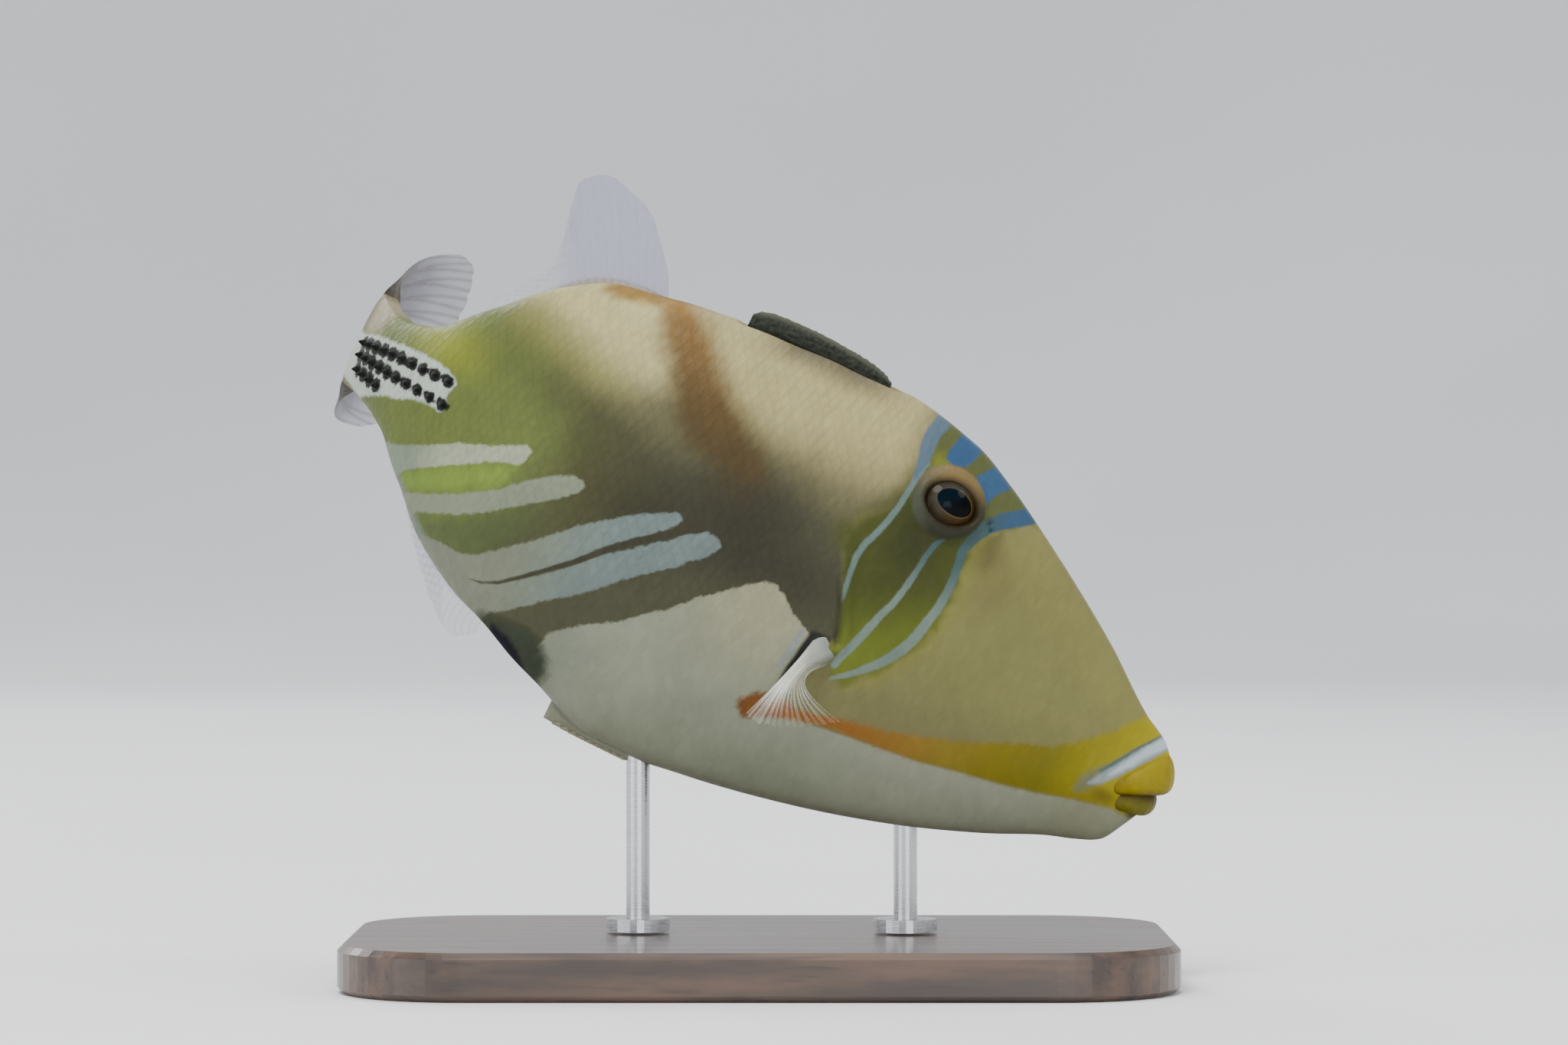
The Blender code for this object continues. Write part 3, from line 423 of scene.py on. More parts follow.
class Nodes:
    """Short ways to add and join a material's nodes. Screen colours go through paint."""

    def __init__(self, name, paint=linear):
        self.paint = paint
        self.material = bpy.data.materials.new(name)
        self.material.use_nodes = True
        self.tree = self.material.node_tree
        self.shader = self.tree.nodes["Principled BSDF"]

    def add(self, kind, inputs=None, **settings):
        node = self.tree.nodes.new(kind)
        for name, value in settings.items():
            setattr(node, name, value)
        for socket, value in (inputs or {}).items():
            self.set(node.inputs[socket], value)
        return node

    def set(self, socket, value):
        if isinstance(value, bpy.types.NodeSocket):
            self.tree.links.new(value, socket)
        elif isinstance(value, tuple) and socket.type == "RGBA":
            socket.default_value = (*self.paint(value), 1)
        else:
            socket.default_value = value

    def attribute(self, name, output="Fac"):
        return self.add("ShaderNodeAttribute", attribute_name=name).outputs[output]

    def math(self, operation, a, b=0.0, c=0.0, clamp=False):
        node = self.add("ShaderNodeMath", {0: a, 1: b, 2: c}, operation=operation)
        node.use_clamp = clamp
        return node.outputs[0]

    def times(self, a, b):
        return self.math("MULTIPLY", a, b)

    def less(self, a, b):
        return self.math("SUBTRACT", a, b)

    def times_plus(self, a, b, c, clamp=False):
        return self.math("MULTIPLY_ADD", a, b, c, clamp)

    def combine(self, x, y):
        return self.add("ShaderNodeCombineXYZ", {0: x, 1: y}).outputs[0]

    def mix(self, factor, a, b, blend_type="MIX"):
        node = self.add("ShaderNodeMix", data_type="RGBA", blend_type=blend_type)
        for name, value in (("Factor", factor), ("A", a), ("B", b)):
            self.set(node.inputs[name], value)
        return node.outputs["Result"]

    def dim(self, colour, tone):
        """The colour times a grey tone."""
        grey = self.add("ShaderNodeCombineColor", {0: tone, 1: tone, 2: tone}).outputs[0]
        return self.mix(1.0, colour, grey, "MULTIPLY")

    def ramp(self, value, low, high, to_low=0.0, to_high=1.0):
        inputs = {"Value": value, "From Min": low, "From Max": high, "To Min": to_low,
                  "To Max": to_high}
        return self.add("ShaderNodeMapRange", inputs,
                        interpolation_type="SMOOTHSTEP").outputs["Result"]

    def noise(self, scale, detail=3.0, roughness=0.5, vector=None):
        if vector is None:
            vector = self.add("ShaderNodeTexCoord").outputs["Object"]
        inputs = {"Scale": scale, "Detail": detail, "Roughness": roughness, "Vector": vector}
        return self.add("ShaderNodeTexNoise", inputs).outputs["Fac"]

    def stretched(self, *scale):
        """The object's coordinates, scaled along each axis."""
        where = self.add("ShaderNodeTexCoord").outputs["Object"]
        return self.add("ShaderNodeMapping", {"Vector": where, "Scale": scale}).outputs[0]

    def bump(self, height, depth, strength, normal=None):
        """A surface that rises by the depth, in mm, where the height is 1."""
        inputs = {"Height": height, "Distance": depth * MM, "Strength": strength}
        if normal is not None:
            inputs["Normal"] = normal
        return self.add("ShaderNodeBump", inputs).outputs["Normal"]

    def shade(self, **values):
        """Sets the shader's inputs, and gives the finished material."""
        for name, value in values.items():
            self.set(self.shader.inputs[name.replace("_", " ")], value)
        return self.material


def new_object(name, data):
    made = bpy.data.objects.new(name, data)
    bpy.context.scene.collection.objects.link(made)
    return made


def mesh_piece(name, points, faces, material, slot, values=None, colours=None):
    """A smooth mesh that rides on the model. values and colours are kept on its points."""
    mesh = bpy.data.meshes.new(name)
    mesh.from_pydata((np.asarray(points).reshape(-1, 3) * MM).tolist(), [], faces)
    for key, numbers in (values or {}).items():
        layer = mesh.attributes.new(key, "FLOAT", "POINT")
        layer.data.foreach_set("value", np.asarray(numbers, np.float32).ravel())
    for key, tints in (colours or {}).items():
        layer = mesh.attributes.new(key, "FLOAT_COLOR", "POINT")
        rgba = np.ones((len(mesh.vertices), 4), np.float32)
        rgba[:, :3] = np.asarray(tints).reshape(-1, 3)
        layer.data.foreach_set("color", rgba.ravel())
    mesh.materials.append(material)
    mesh.shade_smooth()
    made = new_object(name, mesh)
    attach(made, "root")
    return made


def circle(count):
    """Angles evenly spaced round a full turn."""
    return np.linspace(0, 2 * math.pi, count, endpoint=False)


def grid_faces(rows, columns, around=False, start=0, flip=False):
    """The faces of a grid of points. With around, its last column joins its first."""
    faces = []
    for i in range(rows - 1):
        for k in range(columns if around else columns - 1):
            a = start + i * columns + k
            b = start + i * columns + (k + 1) % columns
            face = (a, b, b + columns, a + columns)
            faces.append(face[::-1] if flip else face)
    return faces


def tube_faces(rings, sides, start=0, flip=False, near=True, far=True):
    """The faces of a tube of rings of points, with a cap at its near and its far end."""
    last = start + (rings - 1) * sides
    caps = [tuple(range(start + sides - 1, start - 1, -1))] * near
    caps += [tuple(range(last, last + sides))] * far
    return grid_faces(rings, sides, True, start, flip) + [c[::-1] if flip else c for c in caps]


def skin_material():
    """Ground tints and crisp marks, then scales, grain and a faint sheen."""
    n = Nodes("fish_skin", pigment)
    fibres = n.combine(n.times(n.attribute("streak_across"), 1.5),
                       n.times(n.attribute("streak_along"), 0.42))
    grain = n.noise(1.0, 4, 0.62, fibres)
    wobble = n.less(n.math("ADD", grain, n.noise(1300, 3, 0.6)), 1.0)
    colour = n.attribute("ground", "Color")
    for name, tint, soft, ragged, _ in MARKS:
        edge = n.times_plus(wobble, 2.2 * ragged, n.attribute(name))
        mask = n.ramp(edge, -soft, soft, 1.0, 0.0)
        colour = n.mix(mask, colour, n.attribute(tint, "Color") if isinstance(tint, str) else tint)
    orbit = n.ramp(n.attribute("orbit"), -0.3, 0.3, 1.0, 0.0)
    colour = n.mix(orbit, colour, n.attribute("orbit_tint", "Color"))
    spots = n.times_plus(wobble, 0.7, n.attribute("spine_spots"))
    colour = n.mix(n.ramp(spots, -0.16, 0.16, 1.0, 0.0), colour, SPINE_SPOT)
    # Painted shade in the gill slit and the nostril pits.
    gill = n.ramp(n.attribute("gill"), 0.0, 0.5, 0.4, 0.0)
    colour = n.mix(gill, colour, SLIT_AND_PIT_SHADE)

    bend = n.times(n.less(n.noise(150, 2), 0.5), 1.2)
    rows = n.math("ADD", n.attribute("scale_rows"), bend)
    files = n.less(n.attribute("scale_files"), bend)
    edges = []
    for value in (rows, files):
        part = n.math("FRACT", value)
        edges.append(n.math("MINIMUM", part, n.less(1.0, part)))
    cell = n.combine(n.math("FLOOR", rows), n.math("FLOOR", files))
    cell_tone = n.add("ShaderNodeTexWhiteNoise", {"Vector": cell},
                      noise_dimensions="3D").outputs["Value"]
    scaly = n.attribute("scaly")
    plate = n.ramp(n.math("MINIMUM", *edges), 0.0, 0.3)
    height = n.times(n.times(plate, scaly), 0.7)
    height = n.times_plus(n.times(grain, scaly), 1.3, height)
    normal = n.bump(n.noise(5200, 2), 0.04, 0.5, n.bump(height, 0.06, 0.6))

    tone = n.times_plus(n.less(cell_tone, 0.5), 0.08, 1.0)
    grain_tone = n.times(n.less(grain, 0.5), n.times_plus(scaly, 0.3, 0.14))
    tone = n.times(tone, n.math("ADD", grain_tone, 1.0))
    crease = n.times(n.less(1.0, plate), scaly)
    tone = n.less(tone, n.times(crease, 0.08))
    tone = n.times(tone, n.times_plus(n.noise(95, 4, 0.6), 0.4, 0.8))
    rough = n.ramp(n.noise(900, 3), 0.3, 0.7, 0.44, 0.6)
    rough = n.math("MAXIMUM", rough, n.ramp(n.attribute("vent_outer"), 0.0, 1.5, 0.95, 0.0))
    return n.shade(Base_Color=n.dim(colour, tone), Roughness=rough, Normal=normal,
                   Specular_IOR_Level=0.2)


def lid_share(forward, upward):
    """0 at the edge of the lids' oval opening and 1 at the round edge of the orbit."""
    a, b = forward - LID_CENTRE[0], upward - LID_CENTRE[1]
    radius = np.hypot(a, b) + 1e-9
    opening = 1 / np.hypot(a / radius / LID_HALF_LENGTH, b / radius / LID_HALF_HEIGHT)
    outer = ORBIT_RADIUS + 0.5 - 0.3 * (a * LID_CENTRE[0] + b * LID_CENTRE[1]) / radius
    return (radius - opening) / (outer - opening)


def skin_fields(s, h):
    """The marks' distances, the scale rows and the soft ground tints of the skin."""
    values = {name: shape_field(s, h, shape) for name, *_, shape in MARKS}
    ragged = 0.35 * np.sin(s * 1.7 + 2.1 * np.sin(h * 0.9)) * np.cos(h * 1.3 + s * 0.4)
    ground = pigment(FLANK) * np.ones(s.shape + (1,))

    def paint(colour, share):
        ground[:] = blend(ground, colour, share)

    def within(outline, soft, shift=0.0):
        return smooth(-shape_field(s, h, outline) + ragged + shift, -soft, soft)

    def near(at, reach):
        return 1 - smooth(np.hypot((s - at[0]) / reach[0], (h - at[1]) / reach[1]), 0, 1)

    paint(FLANK_DARK, 0.85 * near((62, 5), (14, 12)))
    paint(FLANK_DARK, 0.95 * near((76, 0), (15, 10)))
    paint(FLANK_DARK, 0.6 * near((53, 1.5), (12, 7)))
    paint(OLIVE_TAN, smooth(h, 8, 14) * smooth(s, 76, 85))
    paint(OLIVE_DARK, 0.8 * within(REAR_OUTLINE, 6, 3.5) * (1 - smooth(h, 8, 15)))
    paint(OLIVE_REAR, within(REAR_OUTLINE, 4.8, -5.4 + 3.0 * smooth(h, 7, 13)))
    paint(OLIVE_BRIGHT, 0.8 * near((107, 7), (12, 6)))
    rear_height = h + 0.5 * np.minimum(s - 80, 0) - 0.12 * np.maximum(s - 80, 0)
    paint(CREAM, within(REAR_CREAM, 4.5) * (0.2 + 0.8 * smooth(rear_height, 11, 18.5)))
    depth = BACK(s) - h
    front_depth = depth - 0.1 * (s - 46)
    paint(CREAM_FRONT, within(FRONT_CREAM, 4.5) * (1 - 0.7 * smooth(front_depth, 4.5, 15)))
    beside_spine = smooth(s, 48, 57) * (1 - smooth(s, 65, 72))
    paint(SPINE_SHADE, 0.85 * beside_spine * (1 - smooth(depth, 0.2, 3.6)))
    band = blend(BAND_LOW, BAND_TOP, BAND_TOP_SHARE(h))
    ground[:] = blend(ground, band, within(ORANGE_BAND, 2.0) * smooth(h, 3, 12))
    paint(DORSAL_BASE_TAN, 0.9 * within(BASE_STRIP, 0.8))
    paint(YELLOW_GREEN, within(YELLOW_GREEN_PATCH, 1.3))
    paint(DEEP_GREEN, 0.8 * within(DEEP_GREEN_PATCH, 1.6) * smooth(s, 78, 90))
    paint(STALK_TAN, smooth(s, 119, 125) * smooth(h, 0.5, 2.5))
    paint(STALK_END_TAN, smooth(s, 126.5, 131))

    head = smooth(-s + np.interp(h, *HEAD_EDGE), -0.5, 0.5)
    paint(CHEEK, head * (1 - within(FRONT_CREAM, 1.0)))
    paint(SNOUT_TOP, head * 0.8 * (1 - smooth(depth, 1, 9)) * (1 - smooth(s, 28, 33)))
    paint(CHEEK_LOW, head * 0.7 * smooth(-h, 0, 9) * smooth(s, 12, 26))
    # Darker brown patches on the cheek, in front of and below the eye.
    paint(CHEEK_DARK_PATCH, 0.5 * near((31, 11.5), (4.5, 6.5)))
    paint(DARK_PATCH_UNDER_EYE, 0.8 * near((33.2, 14.8), (2.8, 4.4)))
    soft = 0.9 + 1.2 * smooth(s, 43, 46) * smooth(h, 2, 8)
    inside = within(GREEN_PATCH, soft, 1.6 * smooth(s, 44, 47) * (1 - smooth(h, 9, 14)) - 0.2)
    inside = inside * (head + (1 - head) * smooth(h, 6, 10))
    paint(GREEN_HALO, 0.55 * within(GREEN_PATCH, 1.8, 0.9) * smooth(-s, -44, -40))
    paint(GREEN, inside)
    # Painted shade on the green below and behind the orbit.
    paint(GREEN_SHADE_UNDER_ORBIT, inside * 0.9 * near((42.0, 13.0), (6, 9)))
    paint(GREEN_BRIGHT, inside * 0.8 * smooth(-h - 0.5 * (s - 40), -8, 3))
    paint(FOREHEAD_OLIVE, within(FOREHEAD, 0.5))
    paint(FOREHEAD_GREEN, within(FOREHEAD, 0.5) * 0.7 * near((43.4, 22.4), (2.2, 2)))

    pale = PALE
    for colour, share in (
        (THROAT, smooth(-s, -46, -30)),
        (PALE_LOBE, 0.9 * near((55, -3), (15, 14))),
        (PALE_REAR, 0.6 * near((76, -20), (9, 8))),
        (CHIN, 0.85 * smooth(-s, -18, -7)),
        # Painted shade darkens the pale underside towards the belly's lower edge.
        (PALE_EDGE_SHADE, 0.4 * smooth(BELLY(s) - h, -2.5, 0)),
    ):
        pale = blend(pale, colour, share)

    stops, tints = MASK_BAND_RAMP[:, 0], pigment(MASK_BAND_RAMP[:, 1:])
    mask = np.stack([np.interp(s, stops, tints[:, k]) for k in range(3)], -1)
    mask = blend(mask, MASK_LOW, 0.6 * smooth(-h, 5, 9) * (1 - smooth(s, 6, 16)))
    # Painted shade at the mouth's corner, and on the snout's tip below the upper lip, where it
    # shows between the lips.
    corner = np.maximum(0.6 * near((6.6, -6.6), (2.6, 1.6)), smooth(-s, -3.4, -2.4) * (h < -3))
    mask = blend(mask, MOUTH_CORNER_SHADE, corner)
    line = blend(LINE_LOW, LINE_TOP, smooth(h, 4, 13))
    line = blend(LINE_FRONT, line, smooth(s, 31.5, 35.5))
    stripe = blend(STRIPE_TOP, STRIPE_TOP_REAR, smooth(s, 97, 105))
    low_stripe = blend(STRIPE, STRIPE_REAR, smooth(s, 74, 86))

    values["streak_across"] = math.cos(STREAK_LEAN) * s + math.sin(STREAK_LEAN) * h
    values["streak_along"] = math.cos(STREAK_LEAN) * h - math.sin(STREAK_LEAN) * s
    values["scale_rows"] = values["streak_across"] / SCALE_SIZE
    values["scale_files"] = (math.cos(FILE_LEAN) * s - math.sin(FILE_LEAN) * h) / SCALE_SIZE
    scaly = (0.25 + 0.75 * smooth(s, 38, 54)) * (1 - 0.6 * smooth(-h, 4, 12))
    values["scaly"] = scaly * (1 - 0.5 * smooth(-values["pale_belly"], -0.5, 1.5))
    values["gill"] = shape_field(s, h, GILL_LINE)
    for at_s, at_h in NOSTRILS:
        values["gill"] = np.minimum(values["gill"], np.hypot(s - at_s, h - at_h) + 0.15)
    spots = np.full(s.shape, FAR)
    for at_s, at_h in spine_places():
        spread = 0.8 + 0.24 * smooth(s, 106, 118)
        spots = np.minimum(spots, np.hypot((s - at_s + 0.1) * 0.68, h - at_h) - spread)
    values["spine_spots"] = spots
    return values, {"ground": ground, "pale_tint": pale, "mask_tint": mask, "line_tint": line,
                    "stripe_tint": stripe, "low_stripe_tint": low_stripe}


LID_RISE = through("""
    -1.2,-2.6 -0.35,-2.2 -0.1,-0.5 0,0.12 0.14,0.62 0.38,0.95 0.62,0.72 0.85,0.26 1,0.06 1.15,0
""")


def build_skin(material):
    """The whole skin in one mesh, with lids, gill slit and skin relief in its shape."""
    stations = np.concatenate([
        np.arange(SKIN_FRONT, HEAD_REAR, HEAD_SPACING),
        np.arange(HEAD_REAR, SKIN_REAR, BODY_SPACING), [SKIN_REAR],
    ])[:, None]
    angle = np.linspace(0, math.pi, SIDE_STEPS + 1)[None, :]
    widest = WIDEST(stations)
    top, low = BACK(stations) - widest, widest - BELLY(stations)
    h = widest + np.where(np.cos(angle) > 0, top, low) * np.cos(angle)
    w = HALF_WIDTH(stations) - EDGE_FLAT
    w = EDGE_FLAT + w * np.sin(angle) ** ROUNDNESS(stations)
    h = h - GROOVE(stations) * (1 - smooth(w, 1.0, 1.75)) * (h > 20)
    s = np.broadcast_to(stations, h.shape)
    s = np.concatenate([s, s], 1)
    w = np.concatenate([-w, w[:, ::-1]], 1)
    h = np.concatenate([h, h[:, ::-1]], 1)
    points = place(s, h, w)

    along = np.gradient(points, axis=0)
    padded = np.concatenate([points[:, -1:], points, points[:, :1]], 1)
    normal = np.cross(padded[:, 2:] - padded[:, :-2], along)
    normal /= np.linalg.norm(normal, axis=2)[..., None]
    if (normal * (points - place(s, h * 0.9, 0))).sum() < 0:
        normal = -normal

    values, colours = skin_fields(s, h)
    slit = values["gill"]
    rise = 0.10 * np.sin(s * 0.55 + h * 0.21) * np.sin(h * 0.33 - s * 0.12) * smooth(s, 50, 60)
    rise -= 0.5 * np.exp(-(slit / 0.42) ** 2)
    rise += 0.35 * np.exp(-((slit - 0.95) / 0.55) ** 2) * (s < np.interp(h, *HEAD_EDGE))
    points = points + normal * rise[..., None]

    orbit = np.full(s.shape, FAR)
    tint = np.zeros(s.shape + (3,))
    for side in (-1, 1):
        centre, *directions = side_frame(EYE_S, EYE_H, side)
        outwards, forward, upward = ((points - centre) @ way for way in directions)
        near = (np.hypot(forward, upward) < 7) & (np.sign(w) == side) & (np.abs(outwards) < 4)
        share = lid_share(forward, upward)
        wrinkle = 1 + 0.06 * np.sin(np.arctan2(upward, forward) * 34 + share * 3)
        lift = (LID_RISE(share) * np.where(share > 0, wrinkle, 1))[..., None]
        points = np.where(near[..., None], points + directions[0] * lift, points)
        orbit = np.where(near, np.hypot(forward, upward) - ORBIT_RADIUS, orbit)
        high = smooth(upward * 0.95 - forward * 0.2, -1.2, 3.6)
        colour = blend(ORBIT_LOW, ORBIT_TOP, high)
        colour = blend(colour, ORBIT_REAR, smooth(-forward, 0.5, 4.2) * (1 - 0.5 * high))
        # The lids darken round the opening: painted shade under their rim, over the lids' own
        # darker edge.
        colour = blend(colour, ORBIT_RIM_SHADE, 0.8 * smooth(0.5 - share, 0, 0.42))
        tint = np.where(near[..., None], colour, tint)
    values["orbit"] = orbit
    colours["orbit_tint"] = tint
    skin = mesh_piece("fish_skin", points, tube_faces(*s.shape), material, "trunk", values,
                      colours)
    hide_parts("head", "trunk", "tail_stalk")


def lip_material(name, colour, crease_shade_colour):
    """A blotched skin that darkens with painted shade where its crease value is high."""
    n = Nodes(name, pigment)
    blotch = n.ramp(n.noise(700, 3), 0.35, 0.7, 0.0, 0.3)
    lit = n.mix(blotch, colour, tuple(min(255, c + 20) for c in colour))
    shade = n.times_plus(n.less(n.noise(500, 2), 0.5), 0.4, n.attribute("crease"), clamp=True)
    folds = n.bump(n.noise(800, 2), 0.15, 0.5, n.bump(n.noise(2600, 3), 0.05, 0.5))
    return n.shade(Base_Color=n.mix(shade, lit, crease_shade_colour), Roughness=0.5, Normal=folds,
                   Specular_IOR_Level=0.16)


LIP_DENT_AT, LIP_DENT_REACH, LIP_DENT = 48, 9, 0.17


def build_lip(name, front, corner, half_width, thick_front, thick_corner, lean, crease_from,
              material):
    """A roll round the snout, its sections in planes through a line behind the mouth's middle.
    crease_from gives the heights, in half thicknesses, between which painted shade darkens it."""
    degrees = np.linspace(-112, 112, 141)
    section = circle(56)
    across, rise = np.cos(section), np.sin(section)
    points, crease = [], []
    for angle in degrees:
        share = min(abs(angle) / 90, 1.0)
        a = math.radians(angle)
        along = 1 - math.cos(min(abs(a), math.pi / 2))
        h = front[1] + (corner[1] - front[1]) * along
        taper = math.sqrt(max(0.02, 1 - max(0.0, (abs(angle) - 76) / 36) ** 2))
        full = taper * (1 + 0.14 * math.sin(math.pi * share))
        thick = [(f + (c - f) * share) * full for f, c in zip(thick_front, thick_corner)]
        fold = 1 + 0.035 * math.sin(angle * 0.16) + 0.02 * math.sin(angle * 0.53 + 1)
        dent = LIP_DENT * math.exp(-(((abs(angle) - LIP_DENT_AT) / LIP_DENT_REACH) ** 2))
        fold = fold - dent * np.clip(rise + 0.3, 0, 1)
        out = np.sign(across) * np.abs(across) ** 0.85 * fold * thick[0]
        up = thick[1] * np.sign(rise) * np.abs(rise) ** 0.9
        sunk = 0.5 * max(0.0, (abs(angle) - 80) / 32)
        s = corner[0] - (corner[0] - front[0] + out - sunk - lean * up) * math.cos(a)
        points.append(place(s, h + up, (half_width + out - sunk) * math.sin(a)))
        # Painted shade, on the side towards the mouth's cleft and towards the lip's ends, where it
        # sinks into the skin.
        dark = smooth(rise * crease_from[2], crease_from[0], crease_from[1])
        crease.append(np.maximum(dark, 0.55 * smooth(abs(angle), 70, 100)))
    faces = tube_faces(len(degrees), len(section))
    mesh_piece(name, points, faces, material, "head", {"crease": crease})


def build_mouth():
    """A full upper lip over a smaller, darker lower one."""
    upper = lip_material("upper_lip_skin", (150, 138, 6), (88, 66, 8))
    lower = lip_material("lower_lip_skin", (112, 108, 52), (70, 54, 14))
    build_lip("upper_lip", (1.1, -1.05), (5.4, -4.6), 2.6, (1.75, 2.45), (1.3, 1.45), 0.4,
              (0.3, 1.1, -1), upper)
    build_lip("lower_lip", (1.55, -5.25), (4.7, -6.3), 2.3, (1.65, 1.75), (1.0, 1.35), 0.15,
              (-0.3, 0.8, 1), lower)


def eye_material():
    """A dark pupil in a thin gold ring, a brown iris, and a wet clear surface."""
    n = Nodes("eye_wet", pigment)
    pupil, side = n.attribute("pupil"), n.attribute("iris_side")
    turned = n.combine(n.times(n.attribute("eye_angle"), 7.0), n.times(pupil, 0.6))
    streak = n.noise(1.0, 3, 0.6, turned)
    iris = n.mix(side, (76, 74, 66), (74, 60, 40))
    iris = n.mix(n.ramp(streak, 0.4, 0.65, 0.0, 0.35), iris, (56, 50, 38))
    iris = n.mix(n.ramp(pupil, 0.3, 1.2), iris, (46, 38, 24))
    ring = n.mix(side, (84, 78, 72), (106, 90, 68))
    iris = n.mix(n.ramp(pupil, 0.07, 0.22, 1.0, 0.0), iris, ring)
    # The pupil is painted lighter and teal at its upper rear as a painted reflection, and near
    # black elsewhere.
    depth = n.mix(side, (13, 29, 37), (3, 8, 10))
    colour = n.mix(n.ramp(pupil, -0.07, 0.07, 1.0, 0.0), iris, depth)
    return n.shade(Base_Color=colour, Roughness=0.4, Specular_IOR_Level=0.0, Coat_Weight=0.22,
                   Coat_Roughness=0.06, Coat_IOR=1.33)


def build_eye(side, node, material):
    """A flattened ball, with the distance to the pupil's oval kept on its points."""
    centre, outward, forward, upward = side_frame(EYE_S, EYE_H, side)
    rows, columns = 64, 128
    polar = np.linspace(0.004, math.pi - 0.004, rows)[:, None]
    around = circle(columns)[None, :]
    radius = EYE_RADIUS * np.sin(polar)
    a, b = radius * np.cos(around), radius * np.sin(around)
    out = EYE_DEPTH * np.cos(polar) + 0.12 * np.exp(-((polar / 0.55) ** 2)) - EYE_SUNK
    points = (centre + a[..., None] * forward + b[..., None] * upward
              + out[..., None] * outward)
    da, db = a - PUPIL_CENTRE[0], b - PUPIL_CENTRE[1]
    long = da * math.cos(PUPIL_TILT) + db * math.sin(PUPIL_TILT)
    short = db * math.cos(PUPIL_TILT) - da * math.sin(PUPIL_TILT)
    ellipse = np.hypot(long / PUPIL_HALF_LENGTH, short / PUPIL_HALF_HEIGHT)
    values = {
        "pupil": (ellipse - 1) * np.hypot(long, short) / np.maximum(ellipse, 0.05),
        "eye_angle": np.abs(np.arctan2(short, long)),
        "iris_side": smooth(da - 0.6 * db, -1.5, 1.8),
    }
    eye = mesh_piece(node + "_ball", points, tube_faces(rows, columns, flip=side > 0), material,
                     node, values)
    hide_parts(node)


JOINTS_PER_RAY = 26.0


def fin_material(name, membrane, ray_colour, flesh, see_through, ray_through, stain=None,
                 paint=pigment):
    """Clear membrane between milky jointed rays, on a fleshy base. A stain tints the rays near
    it. see_through and ray_through are how solid the membrane and the rays look."""
    n = Nodes(name, paint)
    ray, flesh_share, solid = n.attribute("ray"), n.attribute("flesh"), n.attribute("solid")
    cloud = n.noise(260, 4, 0.6)
    colour = n.mix(ray, membrane, ray_colour)
    colour = n.mix(n.ramp(cloud, 0.35, 0.7, 0.0, 0.3), colour, ray_colour)
    if stain is not None:
        colour = n.mix(n.ramp(n.attribute("out"), 0.1, 0.8, 0.9, 0.0), colour, stain)
    colour = n.mix(flesh_share, colour, flesh)
    joint = n.math("PINGPONG", n.times(n.attribute("out"), JOINTS_PER_RAY), 0.5)
    joint = n.ramp(joint, 0.0, 0.12, 0.86, 1.0)
    colour = n.dim(colour, n.times_plus(n.less(joint, 1.0), ray, 1.0))
    web = n.times(n.times(solid, solid), see_through)
    alpha = n.times_plus(ray, n.less(n.times(solid, ray_through), web), web)
    alpha = n.times_plus(n.times(n.less(cloud, 0.5), web), 0.6, alpha)
    base = n.times(n.times(flesh_share, 1.15), solid)
    alpha = n.math("MAXIMUM", alpha, base, clamp=True)
    return n.shade(Base_Color=colour, Roughness=0.4, Alpha=alpha,
                   Normal=n.bump(n.noise(2400, 2), 0.04, 0.4), Specular_IOR_Level=0.3)


RAY_WIDTH, RAY_NARROWING = 0.13, 0.04
TIP_NOTCH, TIP_UNEVEN = 0.012, 0.012


def build_fin(name, node, ray_point, rays, material, ray_half, skin_half, base_half, fleshy,
              cover, branch=0.5, wave=0.12, per_ray=10, along=48):
    """A thin fin whose rays stand out as jointed ridges that part near their tips. The halves are
    half thicknesses, and cover gives how solid each place looks."""
    columns, rows = (rays - 1) * per_ray + 1, along + 1
    u = np.linspace(0, 1, columns)
    v = np.linspace(0, 1, rows)
    x = u * (rays - 1)
    gap = np.abs(x - np.round(x))
    points = np.zeros((columns, rows, 3))
    ray = np.zeros((columns, rows))
    for i in range(columns):
        uneven = TIP_UNEVEN * noise.noise(Vector((x[i] * 0.9, 3.1, 0.7)))
        reach = 1 - TIP_NOTCH * (2 * gap[i]) ** 2 - uneven
        for j in range(rows):
            points[i, j] = ray_point(u[i], v[j] * reach)
            parted = branch * 0.3 * smooth(v[j], 0.35, 1.0)
            near = min(abs(gap[i] - parted), abs(gap[i] + parted))
            narrow = RAY_WIDTH - RAY_NARROWING * v[j]
            ray[i, j] = math.exp(-(near / narrow) ** 2) * (1 - 0.25 * v[j])
    normal = np.cross(np.gradient(points, axis=0), np.gradient(points, axis=1))
    normal /= np.linalg.norm(normal, axis=2)[..., None] + 1e-12
    ripple = wave * np.sin(x * 2.1 + 0.8)[:, None] * (v**1.5)[None, :]
    points += normal * ripple[..., None]
    flesh = (1 - smooth(v, 0.0, fleshy))[None, :] * np.ones((columns, 1))
    half = skin_half + (ray_half * (1 - 0.55 * v)[None, :] - skin_half) * ray
    half = half + (base_half - half) * flesh**1.6
    rim = np.minimum(1, (1 - v) / 0.02 + 0.25)[None, :]
    half = (half * rim)[..., None]
    shell = np.concatenate([points + normal * half, points - normal * half])
    other = columns * rows
    faces = grid_faces(columns, rows) + grid_faces(columns, rows, start=other, flip=True)
    border = [i * rows for i in range(columns)]
    border += [(columns - 1) * rows + j for j in range(1, rows)]
    border += [i * rows + along for i in range(columns - 2, -1, -1)]
    border += list(range(along - 1, 0, -1))
    for a, b in zip(border, border[1:] + border[:1]):
        faces.append((b, a, other + a, other + b))
    values = {"ray": ray, "out": v[None, :], "flesh": flesh,
              "solid": cover(u[:, None], v[None, :])}
    values = {key: [np.broadcast_to(value, ray.shape)] * 2 for key, value in values.items()}
    fin = mesh_piece(name, shell, faces, material, node, values)
    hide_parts(node)


